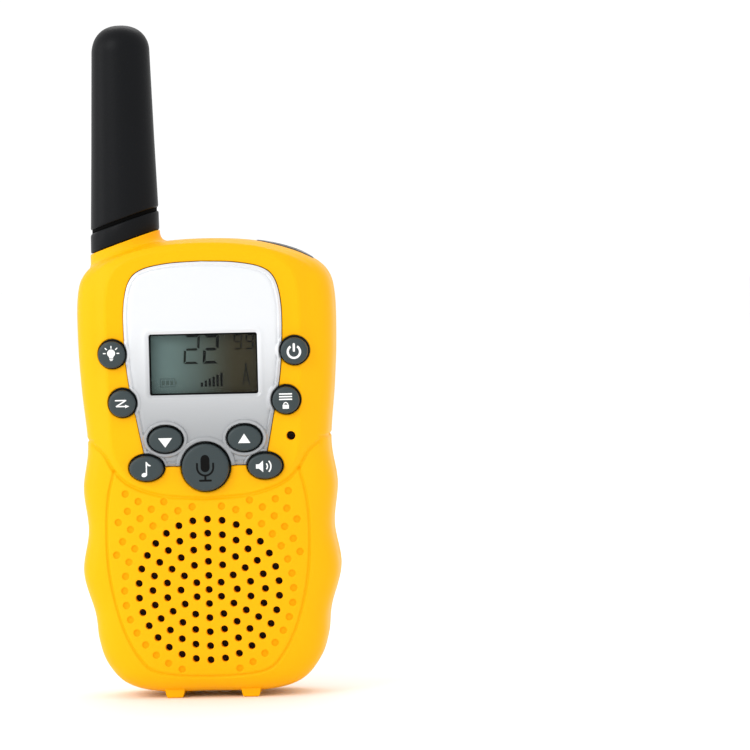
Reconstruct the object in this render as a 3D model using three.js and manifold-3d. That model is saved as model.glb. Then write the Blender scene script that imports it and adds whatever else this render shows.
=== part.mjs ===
// A toy two-way radio: a two-part yellow case with a silver face plate, a display, nine sprung buttons,
// a speaker, a fixed antenna, a torch, four AAA cells under a slide-off cover, and a sprung belt clip.
// Millimetres. +Z is up, the face looks along -Y, and the origin is on the floor under the middle.
import * as THREE from "three";
import { mergeVertices } from "three/addons/utils/BufferGeometryUtils.js";
import Module from "manifold-3d";

const wasm = await Module();
wasm.setup();

// ---- Driving dimensions ---------------------------------------------------------------------------------
const GAP = 0.3; // between a piece and the neighbour that it is cut to fit
const NEAR = 0.1; // between two flat faces that rest on each other

// Case outline, right half, from the middle of the base up to the middle of the top (x, z).
const CASE_HALF = [
  [0, 1.1], [11.5, 1.15], [18.6, 3.0], [22.7, 7.3], [24.5, 12.5], [25.2, 18.2], [27.5, 27], [26.25, 36],
  [27.1, 45], [25.95, 54], [26.95, 66], [27.5, 76], [27.35, 86], [25.7, 91], [21.0, 94.4], [14.5, 96.6],
  [7.5, 97.7], [0, 98],
];
const CASE_HALF_W = 27.55;
const CASE_LOW = 1.1;
const CASE_TOP = 98;
const CASE_MID_Z = (CASE_LOW + CASE_TOP) / 2;
const CASE_HALF_H = (CASE_TOP - CASE_LOW) / 2;
const WALL = 1.8;

// Depths (y). The case parts at SPLIT_Y; the face is the most forward part of the shell.
const SPLIT_Y = -4;
const FACE_Y = -16.4;
const BACK_Y = 9.6;
const CROWN_W = 27; // the inset at which the crowned face has reached its full depth
const FRONT = { depth: SPLIT_Y - FACE_Y, power: 4.2, steepTop: 0.45, steepLow: 0.6, dir: -1 };
const REAR = { depth: BACK_Y - SPLIT_Y, power: 5, steepTop: 0.6, steepLow: 0.5, dir: 1 };
const FRONT_CAVITY_DEPTH = 10.2;
const REAR_CAVITY_DEPTH = REAR.depth - WALL;

// Face plate and the flat plateau of the shell around it (x, z), right half from the base up.
const PLATE_HALF = [
  [12.3, 50.6], [13.1, 53], [14.5, 60], [16.15, 69], [16.75, 78], [16.6, 84.5], [15.4, 89.2], [12.7, 91.6],
  [7, 92.8], [0, 93.15],
];
const PLATE_LOW_Z = 49.9;
const PLATE_FRONT_Y = -16.9;
const PLATE_SEAT_Y = -15.5;
const PLATEAU_HALF = [
  [0, 43.8], [14, 46], [19.2, 52], [20.2, 62], [20.5, 76], [20.3, 86], [18.6, 91.4], [14, 94.2], [7, 95.4],
  [0, 95.7],
];
const PLATEAU_Y = -16.3;
const PLATEAU_SLOPE = 1.5;

// Display.
const WINDOW = { z: 71.4, w: 23.1, h: 13 };

// Buttons: name, x, z, half width, half height of the cap, travel.
const BUTTONS = [
  ["lamp_button", -19.4, 73.9, 2.95, 2.95, 1.0],
  ["power_button", 19.4, 73.9, 2.95, 2.95, 1.0],
  ["scan_button", -17.4, 63.5, 2.95, 2.95, 1.0],
  ["menu_button", 17.4, 63.5, 2.95, 2.95, 1.0],
  ["down_button", -8.4, 55.6, 3.65, 2.8, 1.0],
  ["up_button", 8.4, 55.6, 3.65, 2.8, 1.0],
  ["melody_button", -12.6, 49.6, 3.7, 2.75, 1.0],
  ["monitor_button", 12.6, 49.6, 3.7, 2.75, 1.0],
  ["talk_button", 0, 49.6, 5.1, 5.1, 1.2],
];
const BUTTON_TOP_Y = -18.1;
const TALK_TOP_Y = -18.5;
const BUTTON_CLEARANCE = 0.25;
const FLANGE = { y0: -13.8, y1: -12.9, wide: 0.45 };
const MAT = { y0: -11.4, y1: -10.6, pad: 0.4 };
const BOARD = { y0: -10.4, y1: -9.2, low: 41.5, top: 91, halfW: 22, neckHalfW: 17.9, neckZ: 79.5 };

// Speaker and its grille: rings of 6, 12, 18 ... holes around one in the middle.
const SPEAKER = { z: 23.4, r: 16, pocketY: -14.1 };
const GRILLE = { pitch: 3, rings: 5, holeR: 0.7 };
const MIC = { x: 18.2, z: 55.8, holeR: 0.95 };

// Antenna: oval, on a neck of the case whose top is cut on a slant.
// The collar's and the sleeve's heights are measured on the axis, up from the slant.
const ANTENNA = { x: -17.2, y: SPLIT_Y, tipZ: 144, flat: 0.89, slant: THREE.MathUtils.degToRad(18.4) };
const NECK = { a: 7.5, bore: 5.45, topZ: 97.55 };
const COLLAR = { low: 0.1, top: 4.3, a: 7.35 };
const SLEEVE_LOW = 5.0;

// Torch in the right shoulder.
const TORCH = {
  x: 17.3, z: 95.7, tilt: THREE.MathUtils.degToRad(17), halfL: 6.5, halfW: 4.7,
  proud: 0.28, deep: 3.4, lensR: 3.2,
};

// Battery bay and cells.
const CELL = { r: 5.2, length: 44.5, nub: 0.8, pitch: 10.6, y: 2.4 };
const BAY = { halfW: 21.35, low: 12.6, top: 62.7, floorY: -3 };
const COVER = { y: 7.9, top: 63.9, low: 2.2 };
const CONTACT_T = 0.4;
const SPRING_LENGTH = 4.3;

// Belt clip: middle line of the lever from top to tip (y, z), and its hinge.
const CLIP_LINE = [
  [15.6, 95.5], [17.1, 90], [17.45, 82], [17.45, 70], [17, 60], [14.8, 54], [12, 51.4], [11.3, 49.6],
  [12.6, 47.2],
];
const CLIP = { t: 2, halfW: 9, earIn: 6.1, earOut: 7.6 };
const HINGE = { y: 12.9, z: 86, pinR: 0.85, earR: 2 };
const BRACKET = { halfW: 7.6, low: 79, top: 93, t: 1, earIn: 4.2, earOut: 5.7 };

const SCREW_SPOTS = [[-20.6, 84], [20.6, 84], [-14, 5.3], [14, 5.3]];
const SCREW = { r: 1.1, headR: 2.1, headT: 1.2, length: 13 };
const FEET = { x: 8.15, lowHalf: 1.65, topHalf: 2.2, h: 1.6, y0: -12.5, y1: 6.5 };

// ---- Materials ------------------------------------------------------------------------------------------
const paint = (color, roughness, metalness = 0) =>
  new THREE.MeshStandardMaterial({ color, roughness, metalness });
const YELLOW = paint(0xffc20e, 0.45);
const SILVER = paint(0xc9ccd1, 0.3, 0.6);
const BLACK_RUBBER = paint(0x1c1e20, 0.7);
const GREY_CAP = paint(0x3c4244, 0.45);
const SMOKED = paint(0x6d7f78, 0.1);
const BOARD_GREEN = paint(0x1d6b3a, 0.5);
const STEEL = paint(0xb8babd, 0.3, 1);
const COPPER = paint(0xb87333, 0.35, 1);
const CLEAR = paint(0xe6ecf0, 0.05);
const WHITE = paint(0xe8e8e4, 0.5);
const CELL_SKIN = paint(0x2b4a7a, 0.35, 0.2);
const PAPER_CONE = paint(0x2a2622, 0.9);
const RED = paint(0xb3201c, 0.5);

// ---- Solids ---------------------------------------------------------------------------------------------
function toSolid(geometry) {
  const plain = new THREE.BufferGeometry();
  const flat = geometry.index ? geometry.toNonIndexed() : geometry;
  plain.setAttribute("position", flat.getAttribute("position").clone());
  const merged = mergeVertices(plain, 1e-4);
  const index = merged.index.array;
  const kept = [];
  for (let i = 0; i < index.length; i += 3) {
    const [a, b, c] = [index[i], index[i + 1], index[i + 2]];
    if (a !== b && b !== c && a !== c) kept.push(a, b, c);
  }
  const vertProperties = merged.attributes.position.array;
  const made = (triVerts) => new wasm.Manifold(new wasm.Mesh({ numProp: 3, vertProperties, triVerts }));
  const solid = made(new Uint32Array(kept));
  return solid.volume() < 0 ? made(new Uint32Array(kept).reverse()) : solid;
}

function toGeometry(solid) {
  const mesh = solid.getMesh();
  const position = new Float32Array(mesh.numVert * 3);
  for (let i = 0; i < mesh.numVert; i++) {
    position.set(mesh.vertProperties.subarray(i * mesh.numProp, i * mesh.numProp + 3), i * 3);
  }
  const geometry = new THREE.BufferGeometry();
  geometry.setAttribute("position", new THREE.BufferAttribute(position, 3));
  geometry.setIndex(new THREE.BufferAttribute(new Uint32Array(mesh.triVerts), 1));
  geometry.computeVertexNormals();
  return geometry;
}

const union = (first, ...others) => others.reduce((whole, next) => whole.add(next), first);
const cut = (first, ...others) => others.reduce((whole, next) => whole.subtract(next), first);

// A shape drawn in (x, z), filled from y0 to y1.
function slab(shape, y0, y1, curveSegments = 12) {
  const geometry = new THREE.ExtrudeGeometry(shape, { depth: y1 - y0, bevelEnabled: false, curveSegments });
  return toSolid(geometry.rotateX(Math.PI / 2).translate(0, y1, 0));
}

// A shape drawn in (y, z), filled from x0 to x1.
function slice(shape, x0, x1, curveSegments = 12) {
  const geometry = new THREE.ExtrudeGeometry(shape, { depth: x1 - x0, bevelEnabled: false, curveSegments });
  const turn = new THREE.Matrix4().makeBasis(
    new THREE.Vector3(0, 1, 0), new THREE.Vector3(0, 0, 1), new THREE.Vector3(1, 0, 0));
  return toSolid(geometry.applyMatrix4(turn).translate(x0, 0, 0));
}

function block(x0, x1, y0, y1, z0, z1) {
  const geometry = new THREE.BoxGeometry(x1 - x0, y1 - y0, z1 - z0);
  return toSolid(geometry.translate((x0 + x1) / 2, (y0 + y1) / 2, (z0 + z1) / 2));
}

// A turned piece about a line along Y through (x, z). Its profile is [radius, y], from one end to the other.
function turnedY(profile, x, z, segments = 24, scaleX = 1, scaleZ = 1) {
  const geometry = new THREE.LatheGeometry(profile.map(([r, y]) => new THREE.Vector2(r, y)), segments);
  return toSolid(geometry.scale(scaleX, 1, scaleZ).translate(x, 0, z));
}

const rodY = (x, z, r, y0, y1, segments = 16, ratio = 1) =>
  turnedY([[0, y0], [r, y0], [r, y1], [0, y1]], x, z, segments, 1, ratio);

// The same about a vertical line, as an oval: radii r along x and r * flat along y.
function turnedZ(profile, x, y, segments = 28, flat = 1) {
  const geometry = new THREE.LatheGeometry(profile.map(([r, z]) => new THREE.Vector2(r, z)), segments);
  return toSolid(geometry.rotateX(Math.PI / 2).scale(1, flat, 1).translate(x, y, 0));
}

function wire(points, r, steps, sides = 6) {
  const section = new THREE.Shape();
  for (let i = 0; i < sides; i++) {
    const angle = (i * 2 * Math.PI) / sides;
    const [a, b] = [r * Math.cos(angle), r * Math.sin(angle)];
    if (i) section.lineTo(a, b);
    else section.moveTo(a, b);
  }
  section.closePath();
  const extrudePath = new THREE.CatmullRomCurve3(points);
  return toSolid(new THREE.ExtrudeGeometry(section, { steps, extrudePath, bevelEnabled: false }));
}

// A coil spring about a vertical line, from z0 to z1, its radius going from r0 to r1.
function coilZ(x, y, z0, z1, r0, r1, turns, wireR, stepsPerTurn = 9, sides = 5) {
  const steps = Math.round(turns * stepsPerTurn);
  const points = Array.from({ length: steps + 1 }, (_, i) => {
    const [share, angle] = [i / steps, (i / stepsPerTurn) * 2 * Math.PI];
    const r = r0 + (r1 - r0) * share;
    const z = z0 + wireR + (z1 - z0 - 2 * wireR) * share;
    return new THREE.Vector3(x + r * Math.cos(angle), y + r * Math.sin(angle), z);
  });
  return wire(points, wireR, steps, sides);
}

// Joins rings of points, each [x, y, z] and all of one length, into a closed solid.
function loft(rings) {
  const n = rings[0].length;
  const position = new Float32Array(rings.flat(2));
  const index = [];
  for (let k = 0; k + 1 < rings.length; k++) {
    for (let i = 0; i < n; i++) {
      const [a, b] = [k * n + i, k * n + ((i + 1) % n)];
      index.push(a, b, b + n, a, b + n, a + n);
    }
  }
  const flat = (ring) => ring.map(([x, , z]) => new THREE.Vector2(x, z));
  const cap = (ring) => THREE.ShapeUtils.triangulateShape(flat(ring), []);
  for (const [a, b, c] of cap(rings[0])) index.push(c, b, a);
  const last = (rings.length - 1) * n;
  for (const [a, b, c] of cap(rings[rings.length - 1])) index.push(last + a, last + b, last + c);
  const geometry = new THREE.BufferGeometry();
  geometry.setAttribute("position", new THREE.BufferAttribute(position, 3));
  geometry.setIndex(index);
  return toSolid(geometry);
}

// ---- Outlines -------------------------------------------------------------------------------------------
// The right half mirrored to the left, as one smooth closed run of n points.
function mirrored(half, n) {
  const left = half.filter(([x]) => x > 0).map(([x, z]) => [-x, z]).reverse();
  const points = [...half, ...left].map(([x, z]) => new THREE.Vector3(x, z, 0));
  const curve = new THREE.CatmullRomCurve3(points, true, "catmullrom");
  return curve.getSpacedPoints(n).slice(0, n).map((p) => [p.x, p.y]);
}

// The case outline drawn in by an inset, which is smaller upwards and downwards, where the edges are steeper.
function caseRing(outline, side, inset, y) {
  return outline.map(([x, z]) => {
    const steep = z > CASE_MID_Z ? side.steepTop : side.steepLow;
    const drawnZ = CASE_MID_Z + (z - CASE_MID_Z) * (1 - (steep * inset) / CASE_HALF_H);
    return [x * (1 - inset / CASE_HALF_W), y, drawnZ];
  });
}

const crown = (inset, power) => (1 - (1 - inset / CROWN_W) ** power) ** (1 / power);

// Rings of an outline at growing insets, each at the depth that the crown has there.
const crownedRings = (outline, side, depth, insets) =>
  insets.map((inset) => {
    const y = SPLIT_Y + side.dir * depth * crown(inset, side.power);
    return caseRing(outline, side, inset, y);
  });

const SHELL_INSETS = [0, 0.12, 0.6, 1.6, 3.4, 6.5, 12, 20];
const CAVITY_INSETS = [0, 0.4, 2, 6, 16];
const caseHalf = (side) => loft(crownedRings(mirrored(CASE_HALF, 72), side, side.depth, SHELL_INSETS));

function caseCavity(side, depth) {
  const outline = mirrored(CASE_HALF, 48);
  const even = { steepTop: 1, steepLow: 1 };
  const walled = caseRing(outline, even, WALL, 0).map(([x, , z]) => [x, z]);
  const mouth = caseRing(walled, side, 0, SPLIT_Y - side.dir);
  return loft([mouth, ...crownedRings(walled, side, depth, CAVITY_INSETS)]);
}

// The face plate's outline, grown all round.
function plateShape(grow) {
  const line = PLATE_HALF.map(([x, z]) => new THREE.Vector3(x, z, 0));
  const right = new THREE.CatmullRomCurve3(line, false, "catmullrom");
  const middle = 71.5;
  const grown = right.getPoints(26).map((p) => [
    p.x * (1 + grow / 17),
    middle + (p.y - middle) * (1 + grow / 21.6),
  ]);
  const left = grown.slice(0, -1).map(([x, z]) => [-x, z]).reverse();
  const corner = 11.8 + grow;
  const low = [[corner, PLATE_LOW_Z - grow], [-corner, PLATE_LOW_Z - grow]];
  return new THREE.Shape([low[0], ...grown, ...left, low[1]].map(([x, z]) => new THREE.Vector2(x, z)));
}

function roundedBox(halfW, low, top, r) {
  const shape = new THREE.Shape();
  shape.moveTo(-halfW + r, low);
  shape.lineTo(halfW - r, low);
  shape.absarc(halfW - r, low + r, r, -Math.PI / 2, 0);
  shape.lineTo(halfW, top - r);
  shape.absarc(halfW - r, top - r, r, 0, Math.PI / 2);
  shape.lineTo(-halfW + r, top);
  shape.absarc(-halfW + r, top - r, r, Math.PI / 2, Math.PI);
  shape.lineTo(-halfW, low + r);
  shape.absarc(-halfW + r, low + r, r, Math.PI, 1.5 * Math.PI);
  return shape;
}

// ---- Assembly -------------------------------------------------------------------------------------------
const radio = new THREE.Group();

function piece(name, solid, material, position = [0, 0, 0], rotation = [0, 0, 0]) {
  const mesh = new THREE.Mesh(toGeometry(solid), material);
  mesh.name = name;
  mesh.position.set(...position);
  mesh.rotation.set(...rotation);
  radio.add(mesh);
}

// Everything above the slanted plane that crosses the antenna's axis at height z.
function aboveSlant(z) {
  const size = 120;
  const geometry = new THREE.BoxGeometry(size, size, size).translate(0, 0, size / 2);
  return toSolid(geometry.rotateY(-ANTENNA.slant).translate(ANTENNA.x, ANTENNA.y, z));
}

const oval = (a, z0, z1, segments = 28) =>
  turnedZ([[0, z0], [a, z0], [a, z1], [0, z1]], ANTENNA.x, ANTENNA.y, segments, ANTENNA.flat);

const neck = oval(NECK.a, 91.5, 106).subtract(aboveSlant(NECK.topZ));
const neckBore = oval(NECK.bore, 80, 108, 20);
const inFront = block(-60, 60, -60, SPLIT_Y - NEAR / 2, -10, 160);
const behind = block(-60, 60, SPLIT_Y + NEAR / 2, 60, -10, 160);

// The torch's oval, from a depth below the shoulder to a height above it, grown all round.
function torchOval(grow, from, to) {
  const shape = new THREE.Shape();
  shape.absellipse(0, 0, TORCH.halfL + grow, TORCH.halfW + grow, 0, 2 * Math.PI);
  const options = { depth: to - from, bevelEnabled: false, curveSegments: 12 };
  const geometry = new THREE.ExtrudeGeometry(shape, options);
  return toSolid(geometry.translate(0, 0, from).rotateY(TORCH.tilt).translate(TORCH.x, SPLIT_Y, TORCH.z));
}

function torchRod(r, from, to, segments = 20) {
  const geometry = new THREE.CylinderGeometry(r, r, to - from, segments).rotateX(Math.PI / 2);
  const tilted = geometry.translate(0, 0, (from + to) / 2).rotateY(TORCH.tilt);
  return toSolid(tilted.translate(TORCH.x, SPLIT_Y, TORCH.z));
}

const torchPocket = torchOval(GAP / 2, -TORCH.deep - 0.6, 3.5);

// The two feet, wider where they meet the case.
function feet(y0, y1) {
  const { x, lowHalf, topHalf, h } = FEET;
  const outline = (side) => new THREE.Shape([
    new THREE.Vector2(side * x - lowHalf, 0), new THREE.Vector2(side * x + lowHalf, 0),
    new THREE.Vector2(side * x + topHalf, h), new THREE.Vector2(side * x - topHalf, h)]);
  return union(slab(outline(-1), y0, y1), slab(outline(1), y0, y1));
}

const buttonHole = ([, x, z, a, b]) => {
  const [wide, tall] = [a + BUTTON_CLEARANCE, b + BUTTON_CLEARANCE];
  return turnedY([[0, -20], [1, -20], [1, -12], [0, -12]], x, z, 24, wide, tall);
};

// The display window's rounded outline, grown all round, and a flat panel of that outline.
const windowShape = (grow, r = 0.5) =>
  roundedBox(WINDOW.w / 2 + grow, WINDOW.z - WINDOW.h / 2 - grow, WINDOW.z + WINDOW.h / 2 + grow, r);
const panel = (grow, y0, y1) => slab(windowShape(grow), y0, y1, 3);

// ---- Case -----------------------------------------------------------------------------------------------
function frontHousing() {
  const plateauLine = mirrored(PLATEAU_HALF, 48);
  const plateauRing = (k, y) =>
    plateauLine.map(([x, z]) => [x * (1 + k / 20), y, 70 + (z - 70) * (1 + (0.35 * k) / 26)]);
  const plateau = loft([
    plateauRing(PLATEAU_SLOPE, -9),
    plateauRing(PLATEAU_SLOPE, PLATEAU_Y + 1),
    plateauRing(0, PLATEAU_Y),
  ]);
  const shell = union(caseHalf(FRONT), plateau, feet(FEET.y0, SPLIT_Y - NEAR / 2));
  const bosses = SCREW_SPOTS.map(([x, z]) => rodY(x, z, 2.4, -13.8, SPLIT_Y - NEAR / 2, 14));
  const body = union(cut(shell, caseCavity(FRONT, FRONT_CAVITY_DEPTH)), neck.intersect(inFront), ...bosses);
  const flangeRooms = BUTTONS.map(([, x, z, a, b]) => {
    const room = FLANGE.wide + 0.25;
    return turnedY([[0, -14.1], [1, -14.1], [1, -11], [0, -11]], x, z, 20, a + room, b + room);
  });
  const screwHoles = SCREW_SPOTS.map(([x, z]) => rodY(x, z, SCREW.r + NEAR, -12.5, 0, 12));
  return cut(
    body,
    slab(plateShape(GAP / 2), -20, PLATE_SEAT_Y),
    slab(windowShape(1.2, 0.8), -20, -10, 4),
    ...BUTTONS.map(buttonHole),
    ...flangeRooms,
    ...screwHoles,
    panel(2, -14.2, -10),
    rodY(MIC.x, MIC.z, MIC.holeR, -20, -10, 12),
    rodY(MIC.x, MIC.z, 2.9, -14.1, -10, 14),
    rodY(0, SPEAKER.z, SPEAKER.r + GAP, SPEAKER.pocketY, -2, 36),
    ...grilleHoles(),
    neckBore,
    torchPocket,
  );
}

function grilleHoles() {
  const holes = [];
  for (let ring = 0; ring <= GRILLE.rings; ring++) {
    const count = Math.max(1, 6 * ring);
    for (let i = 0; i < count; i++) {
      const angle = Math.PI / 2 + (i * 2 * Math.PI) / count;
      const away = ring * GRILLE.pitch;
      const [x, z] = [away * Math.cos(angle), SPEAKER.z + away * Math.sin(angle)];
      holes.push(rodY(x, z, GRILLE.holeR, -20, SPEAKER.pocketY + 1, 6));
    }
  }
  return holes;
}

const coverSpace = block(-40, 40, COVER.y - GAP, 20, COVER.low - GAP, COVER.top + GAP);

// Hollow above the battery bay and solid round it, with posts for the upper case screws and the clip screws.
function rearHousing() {
  const shell = union(caseHalf(REAR), feet(SPLIT_Y + NEAR / 2, FEET.y1));
  const upper = block(-40, 40, -10, 20, BAY.top + 1.5, 120);
  const cavity = caseCavity(REAR, REAR_CAVITY_DEPTH).intersect(upper);
  const posts = SCREW_SPOTS.slice(0, 2).map(([x, z]) => rodY(x, z, 3.1, SPLIT_Y + NEAR / 2, 8.6, 16));
  const clipPosts = [-1, 1].map((side) => rodY(0, HINGE.z + side * 4.5, 2.4, 3.5, 8.5, 14));
  const body = union(cut(shell, cavity), neck.intersect(behind), ...posts, ...clipPosts);
  const bay = slab(roundedBox(BAY.halfW, BAY.low, BAY.top, 1.5), BAY.floorY, 20, 3);
  const highHeads = SCREW_SPOTS.slice(0, 2).map(([x, z]) => rodY(x, z, SCREW.headR + GAP, 3.2, 20, 14));
  const lowHeads = SCREW_SPOTS.slice(2).map(([x, z]) => rodY(x, z, SCREW.headR + GAP, 6, 20, 14));
  const shanks = SCREW_SPOTS.map(([x, z]) => rodY(x, z, SCREW.r + NEAR, -10, 10, 12));
  const clipHoles = [-1, 1].map((side) => rodY(0, HINGE.z + side * 4.5, 0.95, 4.5, 20, 10));
  const holes = [...highHeads, ...lowHeads, ...shanks, ...clipHoles];
  return cut(body, bay, coverSpace, ...holes, neckBore, torchPocket);
}

function batteryCover() {
  const room = block(-40, 40, COVER.y, 20, COVER.low, COVER.top);
  const thumb = new THREE.Shape();
  thumb.absellipse(0, 9, 6, 3.4, 0, 2 * Math.PI);
  return cut(caseHalf(REAR).intersect(room), slab(thumb, BACK_Y - 0.5, 20, 10));
}

piece("front_housing", frontHousing(), YELLOW);
piece("rear_housing", rearHousing(), YELLOW);
piece("battery_cover", batteryCover(), YELLOW);

// ---- Face plate and display -----------------------------------------------------------------------------
function facePlate() {
  const edge = 0.5;
  const body = union(
    slab(plateShape(0), PLATE_FRONT_Y + edge, PLATE_SEAT_Y - NEAR),
    slab(plateShape(-edge), PLATE_FRONT_Y, PLATE_FRONT_Y + edge + 0.01),
  );
  return cut(body, panel(0, -20, -10), ...BUTTONS.map(buttonHole));
}

piece("face_plate", facePlate(), SILVER);
piece("display_window", panel(1, PLATE_SEAT_Y, PLATE_SEAT_Y + 1), CLEAR);
piece("lcd_panel", panel(1.7, -14.0, -12.4), SMOKED);
piece("lcd_backlight", panel(1.4, -12.2, -10.9), WHITE);
piece("lcd_contact_strip", block(-11, 11, -12.2, BOARD.y0 - NEAR, 61.3, 62.9), BLACK_RUBBER);

// ---- Buttons and what is under them ---------------------------------------------------------------------
function buttonCap([name, x, z, a, b]) {
  const top = name === "talk_button" ? TALK_TOP_Y : BUTTON_TOP_Y;
  const rim = 0.45;
  const head = [
    [0, top], [1 - (2 * rim) / a, top + 0.06], [1 - rim / a, top + 0.2], [1, top + rim + 0.1],
    [1, FLANGE.y1], [0, FLANGE.y1],
  ];
  const skirt = [[0, FLANGE.y0], [1, FLANGE.y0], [1, FLANGE.y1], [0, FLANGE.y1]];
  return turnedY(head, x, z, 20, a, b).add(turnedY(skirt, x, z, 20, a + FLANGE.wide, b + FLANGE.wide));
}

for (const button of BUTTONS) piece(button[0], buttonCap(button), GREY_CAP);

function keypadMat() {
  const shape = new THREE.Shape([
    [-21.4, 44], [21.4, 44], [22.6, 70], [22.6, 78], [15, 78], [14.6, 60.6],
    [-14.6, 60.6], [-15, 78], [-22.6, 78], [-22.6, 70]].map(([x, z]) => new THREE.Vector2(x, z)));
  const pads = BUTTONS.map(([, x, z, a, b, travel]) => {
    const y0 = FLANGE.y1 + travel + 0.15;
    const profile = [[0, y0], [1, y0], [1, MAT.y0 + 0.2], [0, MAT.y0 + 0.2]];
    return turnedY(profile, x, z, 12, a - MAT.pad, b - MAT.pad);
  });
  return cut(union(slab(shape, MAT.y0, MAT.y1), ...pads), rodY(MIC.x, MIC.z, 2.9, -20, 0, 14));
}

function mainBoard() {
  const { halfW, neckHalfW, neckZ, low, top } = BOARD;
  const right = [[halfW, low], [halfW, neckZ], [neckHalfW, neckZ], [neckHalfW, top]];
  const left = right.map(([x, z]) => [-x, z]).reverse();
  const shape = new THREE.Shape([...right, ...left].map(([x, z]) => new THREE.Vector2(x, z)));
  return slab(shape, BOARD.y0, BOARD.y1);
}

const onBoard = (x0, x1, z0, z1, height) => block(x0, x1, BOARD.y1 + NEAR, BOARD.y1 + NEAR + height, z0, z1);

piece("keypad_mat", keypadMat(), BLACK_RUBBER);
piece("main_board", mainBoard(), BOARD_GREEN);
piece("radio_shield", onBoard(-12, 6, 66, 82, 2.6), STEEL);
piece("controller_chip", onBoard(8, 17, 66, 75, 1.3), BLACK_RUBBER);
piece("crystal", onBoard(8.5, 12, 78, 86, 3.2), STEEL);
piece("microphone", turnedY([[0, -13.9], [1.9, -13.9], [1.9, -11.6], [0, -11.6]], MIC.x, MIC.z, 16), STEEL);
const bootRod = (r, y0, y1) => rodY(MIC.x, MIC.z, r, y0, y1, 16);
piece("microphone_boot", bootRod(2.7, -13.9, -11.8).subtract(bootRod(2, -20, -10)), BLACK_RUBBER);

// ---- Speaker --------------------------------------------------------------------------------------------
const basketProfile = [
  [14.2, -13.6], [SPEAKER.r, -13.6], [SPEAKER.r, -12.4], [14.8, -12.2], [9.6, -9.2], [3, -9.2], [3, -9.9],
  [8.8, -9.9], [14.2, -12.9], [14.2, -13.6],
];
const coneProfile = [
  [0, -12.3], [3.2, -11.8], [4, -10.9], [13.6, -13.3], [13.6, -13.0], [4.2, -10.5], [0, -10.5],
];
const magnetProfile = [[0, -9], [8.6, -9], [8.6, -5.6], [7.8, -5], [0, -5]];
piece("speaker_basket", turnedY(basketProfile, 0, SPEAKER.z, 32), STEEL);
piece("speaker_cone", turnedY(coneProfile, 0, SPEAKER.z, 28), PAPER_CONE);
piece("speaker_magnet", turnedY(magnetProfile, 0, SPEAKER.z, 24), STEEL);
const clothY = SPEAKER.pocketY + NEAR;
piece("speaker_cloth", rodY(0, SPEAKER.z, SPEAKER.r, clothY, clothY + 0.3, 32), BLACK_RUBBER);
const speakerWires = [["speaker_wire_red", 1, RED], ["speaker_wire_black", -1, BLACK_RUBBER]];
for (const [name, side, material] of speakerWires) {
  const run = [[side * 2, -7.6, 33], [side * 2.6, -6.6, 37], [side * 3.4, -7.2, 41], [side * 4, -8.6, 44]];
  piece(name, wire(run.map((p) => new THREE.Vector3(...p)), 0.5, 8), material);
}

// ---- Antenna --------------------------------------------------------------------------------------------
function antennaFormer() {
  const foot = oval(5.2, 88, 110, 20).subtract(aboveSlant(NECK.topZ + COLLAR.top + 0.6));
  const band = oval(6.7, 90, 112).subtract(aboveSlant(NECK.topZ + SLEEVE_LOW - NEAR));
  const seat = band.intersect(aboveSlant(NECK.topZ + COLLAR.top + NEAR));
  return union(foot, seat, turnedZ([[0, 95], [2.4, 95], [2.4, 136], [0, 136]], ANTENNA.x, ANTENNA.y, 14));
}

function antennaCollar() {
  const ring = oval(COLLAR.a, 90, 110).subtract(oval(NECK.bore, 80, 120, 20));
  return ring.intersect(aboveSlant(NECK.topZ + COLLAR.low)).subtract(aboveSlant(NECK.topZ + COLLAR.top));
}

function antennaSleeve() {
  const tip = ANTENNA.tipZ;
  const profile = [
    [0, 97], [7.4, 97], [6.25, tip - 6.2], [6.07, tip - 4.6], [5.6, tip - 3.1], [4.68, tip - 1.7],
    [3.25, tip - 0.65], [1.6, tip - 0.12], [0, tip],
  ];
  const outer = turnedZ(profile, ANTENNA.x, ANTENNA.y, 32, ANTENNA.flat);
  const bore = turnedZ([[0, 90], [4.4, 90], [4.4, 137], [0, 137]], ANTENNA.x, ANTENNA.y, 16);
  return outer.intersect(aboveSlant(NECK.topZ + SLEEVE_LOW)).subtract(bore);
}

piece("antenna_sleeve", antennaSleeve(), BLACK_RUBBER);
piece("antenna_collar", antennaCollar(), BLACK_RUBBER);
piece("antenna_former", antennaFormer(), BLACK_RUBBER);
piece("antenna_coil", coilZ(ANTENNA.x, ANTENNA.y, 108.5, 134, 3.2, 3.2, 9, 0.4, 10, 5), COPPER);

// ---- Torch ----------------------------------------------------------------------------------------------
// The bezel's top follows the shoulder, a little proud of it.
function torchBezel() {
  const insets = [0, 0.12, 0.6, 1.6, 3.4, 6.5, 12, 20];
  const shoulder = union(caseHalf(FRONT, insets, 72), caseHalf(REAR, insets, 72)).translate([0, -SPLIT_Y, 0]);
  const proud = shoulder.scale([1.01, 1.02, 1]).translate([0, SPLIT_Y, TORCH.proud]);
  return cut(proud.intersect(torchOval(0, -TORCH.deep, 4)), torchRod(TORCH.lensR + NEAR, -6, 4));
}

piece("torch_bezel", torchBezel(), BLACK_RUBBER);
piece("torch_lens", torchRod(TORCH.lensR, -1.2, -0.15), CLEAR);
piece("torch_led", union(torchRod(2.5, -5.6, -1.6, 16), torchRod(2.9, -6.3, -5.4, 16)), WHITE);

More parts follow.
